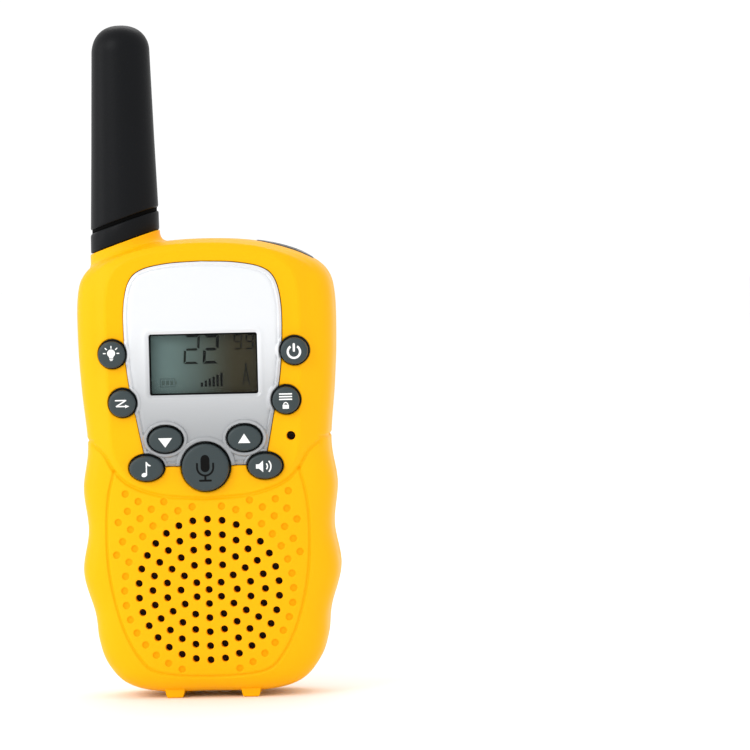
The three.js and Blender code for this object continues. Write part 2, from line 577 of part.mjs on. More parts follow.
// ---- Cells, contacts and cover --------------------------------------------------------------------------
const cellX = (i) => (i - 1.5) * CELL.pitch;
const cellSolid = turnedZ(
  [[0, 0], [4.9, 0], [CELL.r, 0.4], [CELL.r, CELL.length - CELL.nub - 0.4], [4.9, CELL.length - CELL.nub],
    [1.9, CELL.length - CELL.nub], [1.9, CELL.length], [0, CELL.length]], 0, 0, 24);
const springSolid = coilZ(0, 0, 0, SPRING_LENGTH, 3.4, 2.2, 3.5, 0.3);
const lowContactZ = BAY.low + NEAR;
const highContactZ = BAY.top - NEAR - CONTACT_T;
for (let i = 0; i < 4; i++) {
  const up = i % 2 === 0;
  const lowEnd = lowContactZ + CONTACT_T + NEAR + (up ? SPRING_LENGTH + NEAR : 0);
  const springZ = up ? lowContactZ + CONTACT_T + NEAR : highContactZ - NEAR;
  const over = up ? 0 : Math.PI;
  const cellZ = up ? lowEnd : lowEnd + CELL.length;
  piece(`battery_cell_${i + 1}`, cellSolid, CELL_SKIN, [cellX(i), CELL.y, cellZ], [over, 0, 0]);
  piece(`contact_spring_${i + 1}`, springSolid, STEEL, [cellX(i), CELL.y, springZ], [over, 0, 0]);
}

function contact(name, first, last, z) {
  const half = 4.4;
  const [x0, x1] = [cellX(first) - half, cellX(last) + half];
  piece(name, block(x0, x1, CELL.y - 4.2, CELL.y + 4.2, z, z + CONTACT_T), STEEL);
}
contact("contact_plate_positive", 0, 0, highContactZ);
contact("contact_bridge_middle", 1, 2, highContactZ);
contact("contact_plate_negative", 3, 3, highContactZ);
contact("contact_bridge_left", 0, 1, lowContactZ);
contact("contact_bridge_right", 2, 3, lowContactZ);

// ---- Belt clip ------------------------------------------------------------------------------------------
// A ribbon of even thickness along a middle line of (y, z) points.
function ribbon(line, thickness) {
  const curve = new THREE.SplineCurve(line.map(([y, z]) => new THREE.Vector2(y, z)));
  const steps = 26;
  const side = (sign) => Array.from({ length: steps + 1 }, (_, i) => {
    const [at, along] = [curve.getPoint(i / steps), curve.getTangent(i / steps)];
    const out = (sign * thickness) / 2;
    return new THREE.Vector2(at.x - out * along.y, at.y + out * along.x);
  });
  return new THREE.Shape([...side(1), ...side(-1).reverse()]);
}

function hingeEar(x0, x1, rootY) {
  const ear = new THREE.Shape();
  ear.moveTo(rootY, HINGE.z - HINGE.earR - 0.6);
  ear.lineTo(HINGE.y, HINGE.z - HINGE.earR);
  ear.absarc(HINGE.y, HINGE.z, HINGE.earR, -Math.PI / 2, Math.PI / 2, rootY > HINGE.y);
  ear.lineTo(rootY, HINGE.z + HINGE.earR + 0.6);
  return slice(ear, x0, x1, 8);
}

function pinRod(r, halfLength, segments = 16) {
  const geometry = new THREE.CylinderGeometry(r, r, 2 * halfLength, segments).rotateZ(Math.PI / 2);
  return toSolid(geometry.translate(0, HINGE.y, HINGE.z));
}

function beltClip() {
  const lever = slice(ribbon(CLIP_LINE, CLIP.t), -CLIP.halfW, CLIP.halfW);
  const ears = [-1, 1].map((side) => {
    const [a, b] = [side * CLIP.earIn, side * CLIP.earOut].sort((p, q) => p - q);
    return hingeEar(a, b, 16.4);
  });
  return cut(union(lever, ...ears), pinRod(HINGE.pinR + 0.1, 30));
}

function clipBracket() {
  const y0 = BACK_Y + NEAR;
  const plate = block(-BRACKET.halfW, BRACKET.halfW, y0, y0 + BRACKET.t, BRACKET.low, BRACKET.top);
  const ears = [-1, 1].map((side) => {
    const [a, b] = [side * BRACKET.earIn, side * BRACKET.earOut].sort((p, q) => p - q);
    return hingeEar(a, b, BACK_Y + NEAR + 0.2);
  });
  const holes = [-1, 1].map((side) => rodY(0, HINGE.z + side * 4.5, 0.95, 5, 20, 10));
  return cut(union(plate, ...ears), pinRod(HINGE.pinR + NEAR, 30), ...holes);
}

function clipSpring() {
  const halfCoil = 3.2;
  const [turns, perTurn] = [4, 10];
  const points = [];
  points.push(new THREE.Vector3(-halfCoil, BACK_Y + 1.6, HINGE.z - 6));
  for (let i = 0; i <= turns * perTurn; i++) {
    const angle = (i / perTurn) * 2 * Math.PI;
    const x = -halfCoil + (2 * halfCoil * i) / (turns * perTurn);
    points.push(new THREE.Vector3(x, HINGE.y - 1.5 * Math.cos(angle), HINGE.z + 1.5 * Math.sin(angle)));
  }
  points.push(new THREE.Vector3(halfCoil, BACK_Y + 1.6, HINGE.z - 6));
  return wire(points, 0.3, 60, 5);
}

piece("belt_clip", beltClip(), BLACK_RUBBER);
piece("clip_bracket", clipBracket(), BLACK_RUBBER);
piece("clip_pin", pinRod(HINGE.pinR, 7.8), STEEL);
piece("clip_spring", clipSpring(), STEEL);

// ---- Fasteners ------------------------------------------------------------------------------------------
// A pan-head screw whose head's top is at the origin and whose shank points along -Y.
function screw(r, headR, headT, length) {
  const profile = [
    [0, -length], [0.4 * r, -length], [r, 1.2 - length], [r, -headT], [headR, -headT], [headR, -0.35],
    [headR - 0.5, 0], [0, 0],
  ];
  const slot = block(-headR * 0.62, headR * 0.62, -0.5, 1, -0.2, 0.2);
  const cross = block(-0.2, 0.2, -0.5, 1, -headR * 0.62, headR * 0.62);
  return cut(turnedY(profile, 0, 0, 14), slot, cross);
}
const caseScrew = screw(SCREW.r, SCREW.headR, SCREW.headT, SCREW.length);
SCREW_SPOTS.forEach(([x, z], i) => {
  const seat = i < 2 ? 3.2 : 6;
  piece(`case_screw_${i + 1}`, caseScrew, STEEL, [x, seat + NEAR + SCREW.headT, z]);
});
const clipScrew = screw(0.85, 1.7, 0.8, 5.5);
[-1, 1].forEach((side, i) => {
  const headY = BACK_Y + 2 * NEAR + BRACKET.t + 0.8;
  piece(`clip_screw_${i + 1}`, clipScrew, STEEL, [0, headY, HINGE.z + side * 4.5]);
});

export default radio;
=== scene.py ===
import math
from collections import Counter

import bmesh
import bpy
import numpy as np
from mathutils import Matrix, Vector
from mathutils.geometry import delaunay_2d_cdt
from mathutils.kdtree import KDTree


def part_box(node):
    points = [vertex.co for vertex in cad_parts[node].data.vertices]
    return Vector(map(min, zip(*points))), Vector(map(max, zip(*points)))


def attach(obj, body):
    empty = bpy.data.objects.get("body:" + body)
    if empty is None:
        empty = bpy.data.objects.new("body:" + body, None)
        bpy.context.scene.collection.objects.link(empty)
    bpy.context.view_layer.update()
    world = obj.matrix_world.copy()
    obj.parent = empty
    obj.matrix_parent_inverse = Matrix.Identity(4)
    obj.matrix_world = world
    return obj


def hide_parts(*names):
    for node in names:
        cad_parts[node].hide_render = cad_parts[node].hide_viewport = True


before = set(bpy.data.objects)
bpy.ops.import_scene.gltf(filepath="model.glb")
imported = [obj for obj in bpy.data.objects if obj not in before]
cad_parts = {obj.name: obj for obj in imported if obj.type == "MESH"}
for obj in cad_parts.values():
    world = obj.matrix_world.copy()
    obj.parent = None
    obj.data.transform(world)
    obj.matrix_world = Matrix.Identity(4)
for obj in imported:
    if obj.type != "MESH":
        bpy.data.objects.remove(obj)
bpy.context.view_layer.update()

MM = 0.001
RNG = np.random.default_rng(7)

# ---- Driving dimensions, mm ----
CASE_HALF = [
    (0, 1.1), (11.5, 1.15), (18.6, 3.0), (22.7, 7.3), (24.5, 12.5), (25.2, 18.2), (27.5, 27), (26.25, 36),
    (27.1, 45), (25.95, 54), (26.95, 66), (27.5, 76), (27.35, 86), (25.7, 91), (21.0, 94.4), (14.5, 96.6),
    (7.5, 97.7), (0, 98),
]
HALF_W = 27.55
LOW, TOP = 1.1, 98.0
MID_Z = (LOW + TOP) / 2
HALF_H = (TOP - LOW) / 2
SPLIT_Y = -4.0
CROWN_W = 27.0
FRONT = {"depth": 12.4, "power": 4.2, "top": 0.45, "low": 0.6, "dir": -1}
REAR = {"depth": 13.6, "power": 5.0, "top": 0.6, "low": 0.5, "dir": 1}
PARTING = 0.05  # half the gap between the two shells

PLATE_HALF = [
    (12.3, 50.6), (13.1, 53), (14.5, 60), (16.15, 69), (16.75, 78), (16.6, 84.5), (15.4, 89.2), (12.7, 91.6),
    (7, 92.8), (0, 93.15),
]
PLATE_LOW = 49.9
PLATE_FRONT_Y = -16.9
PLATEAU_HALF = [
    (0, 43.8), (14, 46), (19.2, 52), (20.2, 62), (20.5, 76), (20.3, 86), (18.6, 91.4), (14, 94.2), (7, 95.4),
    (0, 95.7),
]
PLATEAU_Y = -16.3
GRIP_HALF = [(0, 42.85), (9.2, 43.5), (16, 45.75), (19.6, 48.85), (21.7, 52.35), (23.6, 54.05), (25.95, 55.4)]
PANEL_HALF = [
    (19.7, 48.9), (21.1, 43), (21.6, 36), (21.3, 28), (20.1, 21), (18.1, 14.4), (15.2, 9.0), (12.3, 6.2),
    (7.4, 5.1), (0, 4.75),
]
WINDOW_Z, WINDOW_W, WINDOW_H = 71.4, 23.1, 13.0
BUTTONS = {  # name: x, z, half width, half height
    "lamp": (-19.4, 73.9, 2.95, 2.95),
    "power": (19.4, 73.9, 2.95, 2.95),
    "scan": (-17.4, 63.5, 2.95, 2.95),
    "menu": (17.4, 63.5, 2.95, 2.95),
    "down": (-8.4, 55.6, 3.65, 2.8),
    "up": (8.4, 55.6, 3.65, 2.8),
    "melody": (-12.6, 49.6, 3.7, 2.75),
    "monitor": (12.6, 49.6, 3.7, 2.75),
    "talk": (0.0, 49.6, 5.1, 5.1),
}
CAP_Y = -18.08
CAP_SAG, CAP_LESS = 0.12, 0.10  # the caps hang a little low in their holes, and are that much smaller
TALK_Y = -18.48
CLEAR = 0.25
SPEAKER_Z = 23.4
PITCH = 3.0
HOLE_R = 0.78
MIC = (18.2, 55.8, 0.95)
ANT_X, ANT_Y, ANT_TIP, ANT_FLAT = -17.2, SPLIT_Y, 144.0, 0.89
TORCH_X, TORCH_Z, TORCH_TILT, TORCH_L, TORCH_W, TORCH_OPENING = 17.3, 95.7, math.radians(17), 6.5, 4.7, 3.5
SLANT = math.tan(math.radians(18.4))
NECK_A, NECK_TOP = 7.5, 97.55


# ---- Curves ----
def spline(points, closed, per=24):
    """A smooth run through the points: uniform Catmull-Rom, per points to a stretch."""
    p = np.array(points, float)
    n = len(p)
    out = []
    for i in range(n if closed else n - 1):
        if closed:
            a, b, c, d = p[(i - 1) % n], p[i], p[(i + 1) % n], p[(i + 2) % n]
        else:
            b, c = p[i], p[i + 1]
            a = p[i - 1] if i else 2 * b - c
            d = p[i + 2] if i + 2 < n else 2 * c - b
        t = np.linspace(0, 1, per, endpoint=False)[:, None]
        slope, bend, twist = c - a, 2 * a - 5 * b + 4 * c - d, 3 * b - a - 3 * c + d
        out.append(0.5 * (2 * b + slope * t + bend * t**2 + twist * t**3))
    if not closed:
        out.append(p[-1:])
    return np.vstack(out)


def mirrored(half):
    """A closed loop from its right half, which runs from the middle of the base to the middle of the top."""
    return half + [(-x, z) for x, z in reversed(half) if x > 0]


def run_along(line):
    """The distance walked at each point of a line."""
    return np.concatenate([[0], np.cumsum(np.linalg.norm(np.diff(line, axis=0), axis=1))])


def respaced(line, step, closed=False):
    """The line at even steps, end points kept."""
    pts = np.vstack([line, line[:1]]) if closed else line
    run = run_along(pts)
    at = np.linspace(0, run[-1], max(2, int(round(run[-1] / step))) + 1)
    if closed:
        at = at[:-1]
    return np.column_stack([np.interp(at, run, pts[:, k]) for k in range(pts.shape[1])])


def around(n):
    """Even angles round a circle."""
    return np.linspace(0, 2 * math.pi, n, endpoint=False)


def ring_points(x, z, a, b, n):
    u = around(n)
    return np.column_stack([x + a * np.cos(u), z + b * np.sin(u)])


def rounded_rect(cz, w, h, r, n=8):
    """A rectangle about (0, cz) with round corners."""
    loop = []
    for sx, sz, start in ((1, -1, -90), (1, 1, 0), (-1, 1, 90), (-1, -1, 180)):
        for a in np.radians(np.linspace(start, start + 90, n)):
            loop.append((sx * (w / 2 - r) + r * math.cos(a), cz + sz * (h / 2 - r) + r * math.sin(a)))
    return np.array(loop)


def past_oval(points, x, z, a, b):
    """Distance outside an oval's edge, measured away from its middle."""
    dx, dz = (points - [x, z]).T
    k = np.hypot(dx / a, dz / b)
    return (k - 1) * np.hypot(dx, dz) / np.maximum(k, 1e-6)


def lattice(across, up):
    return np.stack(np.meshgrid(across, up), -1).reshape(-1, 2)


def grid_in(x1, z0, z1, gap, shake=0.1):
    """Points gap apart, each a little off its place."""
    g = lattice(np.arange(-x1, x1 + 0.01, gap), np.arange(z0, z1, gap))
    return g + RNG.uniform(-shake, shake, g.shape)


def along(line, offsets, gap, closed=False):
    """Points beside a line, at each offset across it."""
    pts = respaced(line, gap, closed)
    way = np.gradient(pts, axis=0)
    way /= np.linalg.norm(way, axis=1)[:, None] + 1e-12
    side = np.column_stack([-way[:, 1], way[:, 0]])
    return np.vstack([pts + side * o for o in offsets])


def both_sides(*offsets):
    return [0, *offsets, *(-o for o in offsets)]


def inside(points, loop):
    """Which points lie inside a closed loop."""
    x, z = points[:, 0], points[:, 1]
    found = np.zeros(len(points), bool)
    ax, az = loop[:, 0], loop[:, 1]
    bx, bz = np.roll(ax, -1), np.roll(az, -1)
    for i in range(len(loop)):
        crosses = (az[i] > z) != (bz[i] > z)
        if crosses.any():
            at = (bx[i] - ax[i]) * (z - az[i]) / (bz[i] - az[i] + 1e-12) + ax[i]
            found ^= crosses & (x < at)
    return found


def tree_of(points):
    """A look-up of the nearest of some (x, z) points."""
    tree = KDTree(len(points))
    for i, (x, z) in enumerate(points):
        tree.insert((x, z, 0), i)
    tree.balance()
    return tree


def to_nearest(tree, points):
    return np.array([tree.find((x, z, 0))[2] for x, z in points])


def near(line, closed=False):
    """A function that gives points' distances to a line."""
    tree = tree_of(respaced(np.asarray(line, float), 0.08, closed))
    return lambda points: to_nearest(tree, points)


OUTLINE = spline(mirrored(CASE_HALF), True, 60)
_from_middle = OUTLINE - [0, MID_Z]
_angle = np.arctan2(_from_middle[:, 1], _from_middle[:, 0])
_order = np.argsort(_angle)
POLAR_A, POLAR_R = _angle[_order], np.hypot(*_from_middle.T)[_order]


def crown(t, side):
    return (1 - np.clip(1 - t / CROWN_W, 0, 1) ** side["power"]) ** (1 / side["power"])


def scaled(points, t, side, back=False):
    """Outline points drawn in by t, or the other way round."""
    x, z = points[:, 0], points[:, 1] - MID_Z
    steep = np.where(z > 0, side["top"], side["low"])
    kx, kz = np.maximum(1 - t / HALF_W, 1e-6), 1 - steep * t / HALF_H
    return np.column_stack([x / kx, z / kz + MID_Z] if back else [x * kx, z * kz + MID_Z])


def inset_at(points, side):
    """How far in from the outline each (x, z) lies, on the shell's own scale."""
    lo, hi = np.zeros(len(points)), np.full(len(points), 27.4)
    for _ in range(34):
        mid = (lo + hi) / 2
        x, z = (scaled(points, mid, side, back=True) - [0, MID_Z]).T
        out = np.hypot(x, z) > np.interp(np.arctan2(z, x), POLAR_A, POLAR_R, period=2 * math.pi)
        hi, lo = np.where(out, mid, hi), np.where(out, lo, mid)
    return lo


def inset_for(y, side):
    """The inset at which a shell's surface is at depth y."""
    share = min(abs(y - SPLIT_Y) / side["depth"], 0.9999)
    return CROWN_W * (1 - (1 - share ** side["power"]) ** (1 / side["power"]))


def shell_y(points, side):
    """The depth of a shell's plain surface."""
    return SPLIT_Y + side["dir"] * side["depth"] * crown(inset_at(points, side), side)


def smooth_low(a, b, k):
    """The lower of two heights, with a soft corner k wide."""
    h = np.clip(0.5 + 0.5 * (b - a) / k, 0, 1)
    return b * (1 - h) + a * h - k * h * (1 - h)


def step(d, a, b):
    t = np.clip((d - a) / (b - a), 0, 1)
    return t * t * (3 - 2 * t)


def lip(d, r):
    """How far a rounded edge of radius r has dropped at distance d from it."""
    u = np.clip(r - d, 0, r)
    return r - np.sqrt(np.maximum(r * r - u * u, 0))


# ---- Meshes ----
def at_depth(loop, y):
    """Outline points (x, z) as points in space, at one depth or one depth each."""
    return np.column_stack([loop[:, 0], np.broadcast_to(y, len(loop)), loop[:, 1]])


def made(name, shape, material, stands_for=(), body="case", sharp=35):
    """A smooth piece from points in mm and faces. It rides on a body and stands for the CAD nodes named."""
    verts, faces = shape
    mesh = bpy.data.meshes.new(name)
    corners = [tuple(map(int, f)) for f in faces]
    mesh.from_pydata([tuple(v) for v in np.asarray(verts, float) * MM], [], corners)
    mesh.update()
    bm = bmesh.new()
    bm.from_mesh(mesh)
    bmesh.ops.remove_doubles(bm, verts=bm.verts, dist=2e-7)
    bmesh.ops.recalc_face_normals(bm, faces=bm.faces)
    bm.to_mesh(mesh)
    bm.free()
    piece = bpy.data.objects.new(name, mesh)
    bpy.context.collection.objects.link(piece)
    smoothed(mesh, sharp)
    mesh.materials.append(LOOKS[material])
    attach(piece, body)
    if stands_for:
        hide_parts(*stands_for)
    return piece


def smoothed(mesh, sharp):
    mesh.polygons.foreach_set("use_smooth", [True] * len(mesh.polygons))
    mesh.set_sharp_from_angle(angle=math.radians(sharp))


def merged(parts):
    """One list of points and faces from several."""
    verts, faces, base = [], [], 0
    for v, f in parts:
        verts.append(np.asarray(v, float).reshape(-1, 3))
        faces += [tuple(i + base for i in face) for face in f]
        base += len(verts[-1])
    return np.vstack(verts), faces


def bands(rings, close_first=False, close_last=False, closed=True):
    """Rows of points of one length, joined by quads along and, where closed, all the way round."""
    n = len(rings[0])
    faces = [
        (k * n + i, k * n + (i + 1) % n, (k + 1) * n + (i + 1) % n, (k + 1) * n + i)
        for k in range(len(rings) - 1)
        for i in range(n if closed else n - 1)
    ]
    if close_first:
        faces.append(tuple(range(n)))
    if close_last:
        faces.append(tuple((len(rings) - 1) * n + i for i in reversed(range(n))))
    return np.vstack(rings), faces


def lathe_y(profile, x, z, a=1.0, b=1.0, n=64):
    """Turned about a line along Y: (radius, y) pairs from axis to axis, the radii times a and b."""
    return bands([at_depth(ring_points(x, z, r * a, r * b, n), y) for r, y in profile])


def lathe_z(profile, x, y, n=64):
    """Turned about an upright line: (radius, z) pairs."""
    return bands([np.column_stack([ring_points(x, y, r, r, n), np.full(n, z)]) for r, z in profile])


def prism(loop, y0, y1, bevel=0.0):
    """A flat piece between two depths, its outline a loop of (x, z), its front edge bevelled."""
    rings = [at_depth(loop, y1)]
    if bevel:
        mid = loop.mean(axis=0)
        rings.append(at_depth(loop, y0 + bevel))
        loop = mid + (loop - mid) * (1 - bevel / np.abs(loop - mid).max(axis=0))
    return bands(rings + [at_depth(loop, y0)], close_first=True, close_last=True)


def sheet(loops, extra, keep, height, wall=None, skip=lambda mids: np.zeros(len(mids), bool)):
    """A height field over (x, z): loops are its edges, extra its other points, keep says which triangles stay,
    height gives y. Its free edges go back along Y to wall, except those that skip picks."""
    pts, edges = [], []
    for loop in loops:
        start = len(pts)
        pts += [tuple(p) for p in loop]
        edges += [(start + i, start + (i + 1) % len(loop)) for i in range(len(loop))]
    taken = tree_of(pts)
    cells = set()
    for x, z in extra:
        cell = (round(x / 0.07), round(z / 0.07))
        if cell in cells or taken.find((x, z, 0))[2] < 0.05:
            continue
        cells.add(cell)
        pts.append((x, z))
    got = delaunay_2d_cdt([Vector(p) for p in pts], edges, [], 0, 1e-4)
    flat = np.array([tuple(v) for v in got[0]])
    tris = np.array([f for f in got[2] if len(f) == 3])
    used, index = np.unique(tris[keep(flat[tris].mean(axis=1))], return_inverse=True)
    flat, tris = flat[used], index.reshape(-1, 3)
    verts = at_depth(flat, height(flat))
    faces = [tuple(t) for t in tris]
    if wall is None:
        return verts, faces
    count = Counter(tuple(sorted(e)) for a, b, c in tris for e in ((a, b), (b, c), (c, a)))
    rim = [e for e, k in count.items() if k == 1]
    mids = (flat[[e[0] for e in rim]] + flat[[e[1] for e in rim]]) / 2
    rim = [e for e, s in zip(rim, skip(mids)) if not s]
    on_rim = sorted({v for e in rim for v in e})
    low = {v: len(verts) + i for i, v in enumerate(on_rim)}
    return np.vstack([verts, at_depth(flat[on_rim], wall)]), faces + [(a, b, low[b], low[a]) for a, b in rim]


# ---- Materials ----
LOOKS = {}  # the materials made here, by name


def put(mat, node, **inputs):
    """A shader node, made where only its kind is given. An input gets a value, or a link from a socket."""
    if isinstance(node, str):
        node = mat.node_tree.nodes.new("ShaderNode" + node)
    for name, value in inputs.items():
        socket = node.inputs[name.replace("_", " ")]
        if isinstance(value, bpy.types.NodeSocket):
            mat.node_tree.links.new(value, socket)
        else:
            socket.default_value = value
    return node


def finish_of(name, color, rough, vary, scale, depth, metal=0.0, blotch=45.0, coat=0.0, rough_vary=0.06,
              specular=0.5, subsurface=0.0):
    """A moulded or metal surface: a slow drift of colour and gloss over a fine grain that is real relief,
    depth mm deep."""
    mat = LOOKS[name] = bpy.data.materials.new(name)
    mat.use_nodes = True
    shader = mat.node_tree.nodes["Principled BSDF"]
    where = put(mat, "TexCoord").outputs["Object"]
    slow = put(mat, "TexNoise", Vector=where, Scale=blotch, Detail=3).outputs["Fac"]
    ramp = put(mat, "ValToRGB", Fac=slow)
    for stop, k, place in zip(ramp.color_ramp.elements, (1 - vary, 1 + vary), (0.3, 0.7)):
        stop.color = (*[min(1.0, c * k) for c in color], 1)
        stop.position = place
    gloss = put(mat, "MapRange", Value=slow, To_Min=max(0.02, rough - rough_vary),
                To_Max=min(1.0, rough + rough_vary))
    fine = put(mat, "TexNoise", Vector=where, Scale=scale, Detail=4).outputs["Fac"]
    bump = put(mat, "Bump", Height=fine, Distance=depth * MM, Strength=0.5)
    put(mat, shader, Base_Color=ramp.outputs["Color"], Roughness=gloss.outputs["Result"],
        Normal=bump.outputs["Normal"], Metallic=metal, Specular_IOR_Level=specular, Coat_Weight=coat,
        Coat_Roughness=0.12)
    if subsurface:
        put(mat, shader, Subsurface_Weight=subsurface, Subsurface_Radius=(0.002, 0.0012, 0.0004),
            Subsurface_Scale=1.0)
    return mat


def clear_of(name, tint, rough, alpha, specular=0.5):
    """A thin clear window: see-through, glossy, a little hazy."""
    mat = finish_of(name, tint, rough, 0.02, 400, 0, rough_vary=0.015, specular=specular)
    put(mat, mat.node_tree.nodes["Principled BSDF"], Alpha=alpha)


def painted_light_ramp(mat, other, axis, start, end):
    """Paints light or shade into a finish: its colour passes to another along one axis, between two places
    given in metres.
    """
    shader = mat.node_tree.nodes["Principled BSDF"]
    drift = shader.inputs["Base Color"].links[0].from_socket
    split = put(mat, "SeparateXYZ", Vector=put(mat, "TexCoord").outputs["Object"])
    share = put(mat, "MapRange", Value=split.outputs[axis], From_Min=start, From_Max=end)
    share.interpolation_type = "SMOOTHSTEP"
    blend = put(mat, "Mix")
    blend.data_type = "RGBA"
    put(mat, blend, Factor=share.outputs["Result"], A=drift, B=(*other, 1))
    put(mat, shader, Base_Color=blend.outputs["Result"])


# The display's face fades from grey-green on the left to dark olive on the right: a painted reflection.
painted_light_ramp(finish_of("display_face_painted_reflection", (0.15, 0.228, 0.218), 0.3, 0.03, 600, 0, specular=0.15),
         (0.046, 0.04, 0.02), "X", -0.0105, 0.0075)
finish_of("moulded_yellow", (0.985, 0.455, 0.0015), 0.42, 0.01, 1500, 0.022, specular=0.09, subsurface=0.04)
# A deeper orange for the dimples' floors: painted shade in the hollows.
finish_of("dimple_painted_shade_yellow", (0.95, 0.375, 0.001), 0.5, 0.01, 1500, 0.022, specular=0.05)
finish_of("moulded_yellow_cover", (0.98, 0.445, 0.0015), 0.44, 0.01, 1500, 0.04, specular=0.09)
# The plate's silver paint passes from darker grey at the bottom to near white at the top: a painted reflection.
painted_light_ramp(finish_of("silver_paint_painted_reflection", (0.3, 0.31, 0.32), 0.34, 0.012, 2600, 0.015, metal=0.25),
         (0.74, 0.755, 0.775), "Z", 0.05, 0.082)
finish_of("slate_caps", (0.026, 0.04, 0.043), 0.42, 0.05, 1300, 0.05, specular=0.4)
finish_of("print_white", (0.86, 0.87, 0.86), 0.5, 0.01, 2500, 0.01)
finish_of("print_black", (0.002, 0.002, 0.002), 0.6, 0.02, 2500, 0.01, specular=0.1)
finish_of("antenna_rubber", (0.0025, 0.003, 0.004), 0.42, 0.1, 1700, 0.05, specular=0.13, blotch=70)
# Near black, darker than the rod's own dark plastic, so that its seat in the groove over the collar shows as
# painted shade.
finish_of("antenna_former", (0.001, 0.001, 0.001), 0.8, 0.1, 1700, 0.05, specular=0.05)
finish_of("clip_black", (0.02, 0.021, 0.023), 0.48, 0.06, 1200, 0.1)
finish_of("torch_black", (0.015, 0.016, 0.017), 0.3, 0.04, 1500, 0.03)
finish_of("display_segments", (0.002, 0.003, 0.003), 0.4, 0.03, 900, 0, specular=0.15)
finish_of("display_soft", (0.009, 0.012, 0.01), 0.4, 0.03, 900, 0, specular=0.15)
finish_of("display_faint", (0.085, 0.125, 0.115), 0.4, 0.03, 900, 0, specular=0.15)
clear_of("clear_window", (0.004, 0.005, 0.005), 0.05, 0.08, 0.25)
clear_of("clear_lens", (0.12, 0.13, 0.14), 0.05, 0.2)
finish_of("dark_cloth", (0.006, 0.006, 0.006), 0.9, 0.2, 900, 0.1)
finish_of("bright_steel", (0.58, 0.58, 0.59), 0.28, 0.05, 700, 0.03, metal=1)
finish_of("nickel", (0.62, 0.6, 0.56), 0.25, 0.05, 500, 0.02, metal=1)
finish_of("tinned_can", (0.55, 0.56, 0.57), 0.34, 0.06, 300, 0.04, metal=1)
finish_of("copper_wire", (0.64, 0.26, 0.1), 0.3, 0.06, 600, 0.02, metal=1)
finish_of("solder_mask", (0.012, 0.14, 0.045), 0.35, 0.15, 260, 0.1, blotch=160)
finish_of("moulded_package", (0.02, 0.02, 0.021), 0.6, 0.05, 1400, 0.08)
finish_of("paper_cone", (0.03, 0.027, 0.024), 0.85, 0.15, 500, 0.3)
finish_of("mat_rubber", (0.1, 0.1, 0.105), 0.7, 0.05, 800, 0.1)
finish_of("milky_diffuser", (0.8, 0.8, 0.76), 0.5, 0.02, 500, 0.03)
finish_of("lamp_and_reflector", (0.88, 0.86, 0.74), 0.2, 0.03, 400, 0.02, coat=0.5)
finish_of("wire_red", (0.45, 0.01, 0.01), 0.4, 0.04, 700, 0.04)
finish_of("wire_black", (0.012, 0.012, 0.012), 0.4, 0.04, 700, 0.04)

finish_of("cell_sleeve", (0.02, 0.06, 0.16), 0.25, 0.05, 900, 0.02, metal=0.3, coat=0.4)
finish_of("cell_band", (0.72, 0.4, 0.1), 0.25, 0.04, 900, 0.02, metal=0.8, coat=0.4)

CARRIED = {  # the CAD nodes that keep their shape, by what they are made of
    "milky_diffuser": ["lcd_backlight"],
    "mat_rubber": ["lcd_contact_strip", "keypad_mat", "microphone_boot"],
    "solder_mask": ["main_board"],
    "tinned_can": ["radio_shield", "crystal", "microphone"],
    "moulded_package": ["controller_chip"],
    "bright_steel": ["speaker_basket", "speaker_magnet", "clip_pin", "clip_spring", "clip_screw_1",
                     "clip_screw_2", *(f"case_screw_{i}" for i in (1, 2, 3, 4))],
    "paper_cone": ["speaker_cone"],
    "dark_cloth": ["speaker_cloth"],
    "wire_red": ["speaker_wire_red"],
    "wire_black": ["speaker_wire_black"],
    "copper_wire": ["antenna_coil"],
    "clear_window": ["display_window"],
    "nickel": [f"contact_{kind}" for kind in (
        "plate_positive", "plate_negative", "bridge_left", "bridge_middle", "bridge_right")],
    "clip_black": ["clip_bracket"],
}
for material, kept in CARRIED.items():
    for node in kept:
        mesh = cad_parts[node].data
        mesh.materials.clear()
        mesh.materials.append(LOOKS[material])
        smoothed(mesh, 40)

# ---- Camera ----
VIEW_TURN, VIEW_RISE, VIEW_ROLL = 4.7, 2.0, 1.35  # degrees
DISTANCE = 0.95
SPAN = 0.1606  # what the frame takes in at the object's distance
AIM = Vector((0.0360, -0.008, 0.06796))
camera = bpy.data.objects.new("camera", bpy.data.cameras.new("camera"))
bpy.context.collection.objects.link(camera)
bpy.context.scene.camera = camera
camera.data.sensor_width = 36
camera.data.lens = 36 * DISTANCE / SPAN
camera.data.clip_start, camera.data.clip_end = 0.05, 20
turn, rise = math.radians(VIEW_TURN), math.radians(VIEW_RISE)
middle = Vector((0, AIM.y, AIM.z))
camera.location = middle + DISTANCE * Vector(
    (math.sin(turn) * math.cos(rise), -math.cos(turn) * math.cos(rise), math.sin(rise)))
camera.rotation_mode = "QUATERNION"
camera.rotation_quaternion = (AIM - camera.location).to_track_quat("-Z", "Y") @ Matrix.Rotation(
    -math.radians(VIEW_ROLL), 3, "Z").to_quaternion()


# ---- Front shell ----
def plate_loop(grow):
    """The silver plate's outline, grown all round."""
    right = spline(PLATE_HALF, False, 8)
    right = np.column_stack([right[:, 0] * (1 + grow / 17), 71.5 + (right[:, 1] - 71.5) * (1 + grow / 21.6)])
    left = right[:-1][::-1] * [-1, 1]
    low = [(11.8 + grow, PLATE_LOW - grow)], [(-11.8 - grow, PLATE_LOW - grow)]
    return np.vstack([low[0], right, left, low[1]])


GRIP = spline(GRIP_HALF, False, 12)
PANEL = spline(PANEL_HALF, False, 12)
GRIP_LINE = np.vstack([GRIP[::-1], GRIP[1:] * [-1, 1]])
PANEL_RIGHT, PANEL_LEFT = PANEL, PANEL * [-1, 1]
PLATEAU = spline(mirrored(PLATEAU_HALF), True, 12)
near_grip, near_panel = near(GRIP_LINE), near(np.vstack([PANEL_RIGHT, PANEL_LEFT[::-1]]))
near_plateau = near(PLATEAU, True)


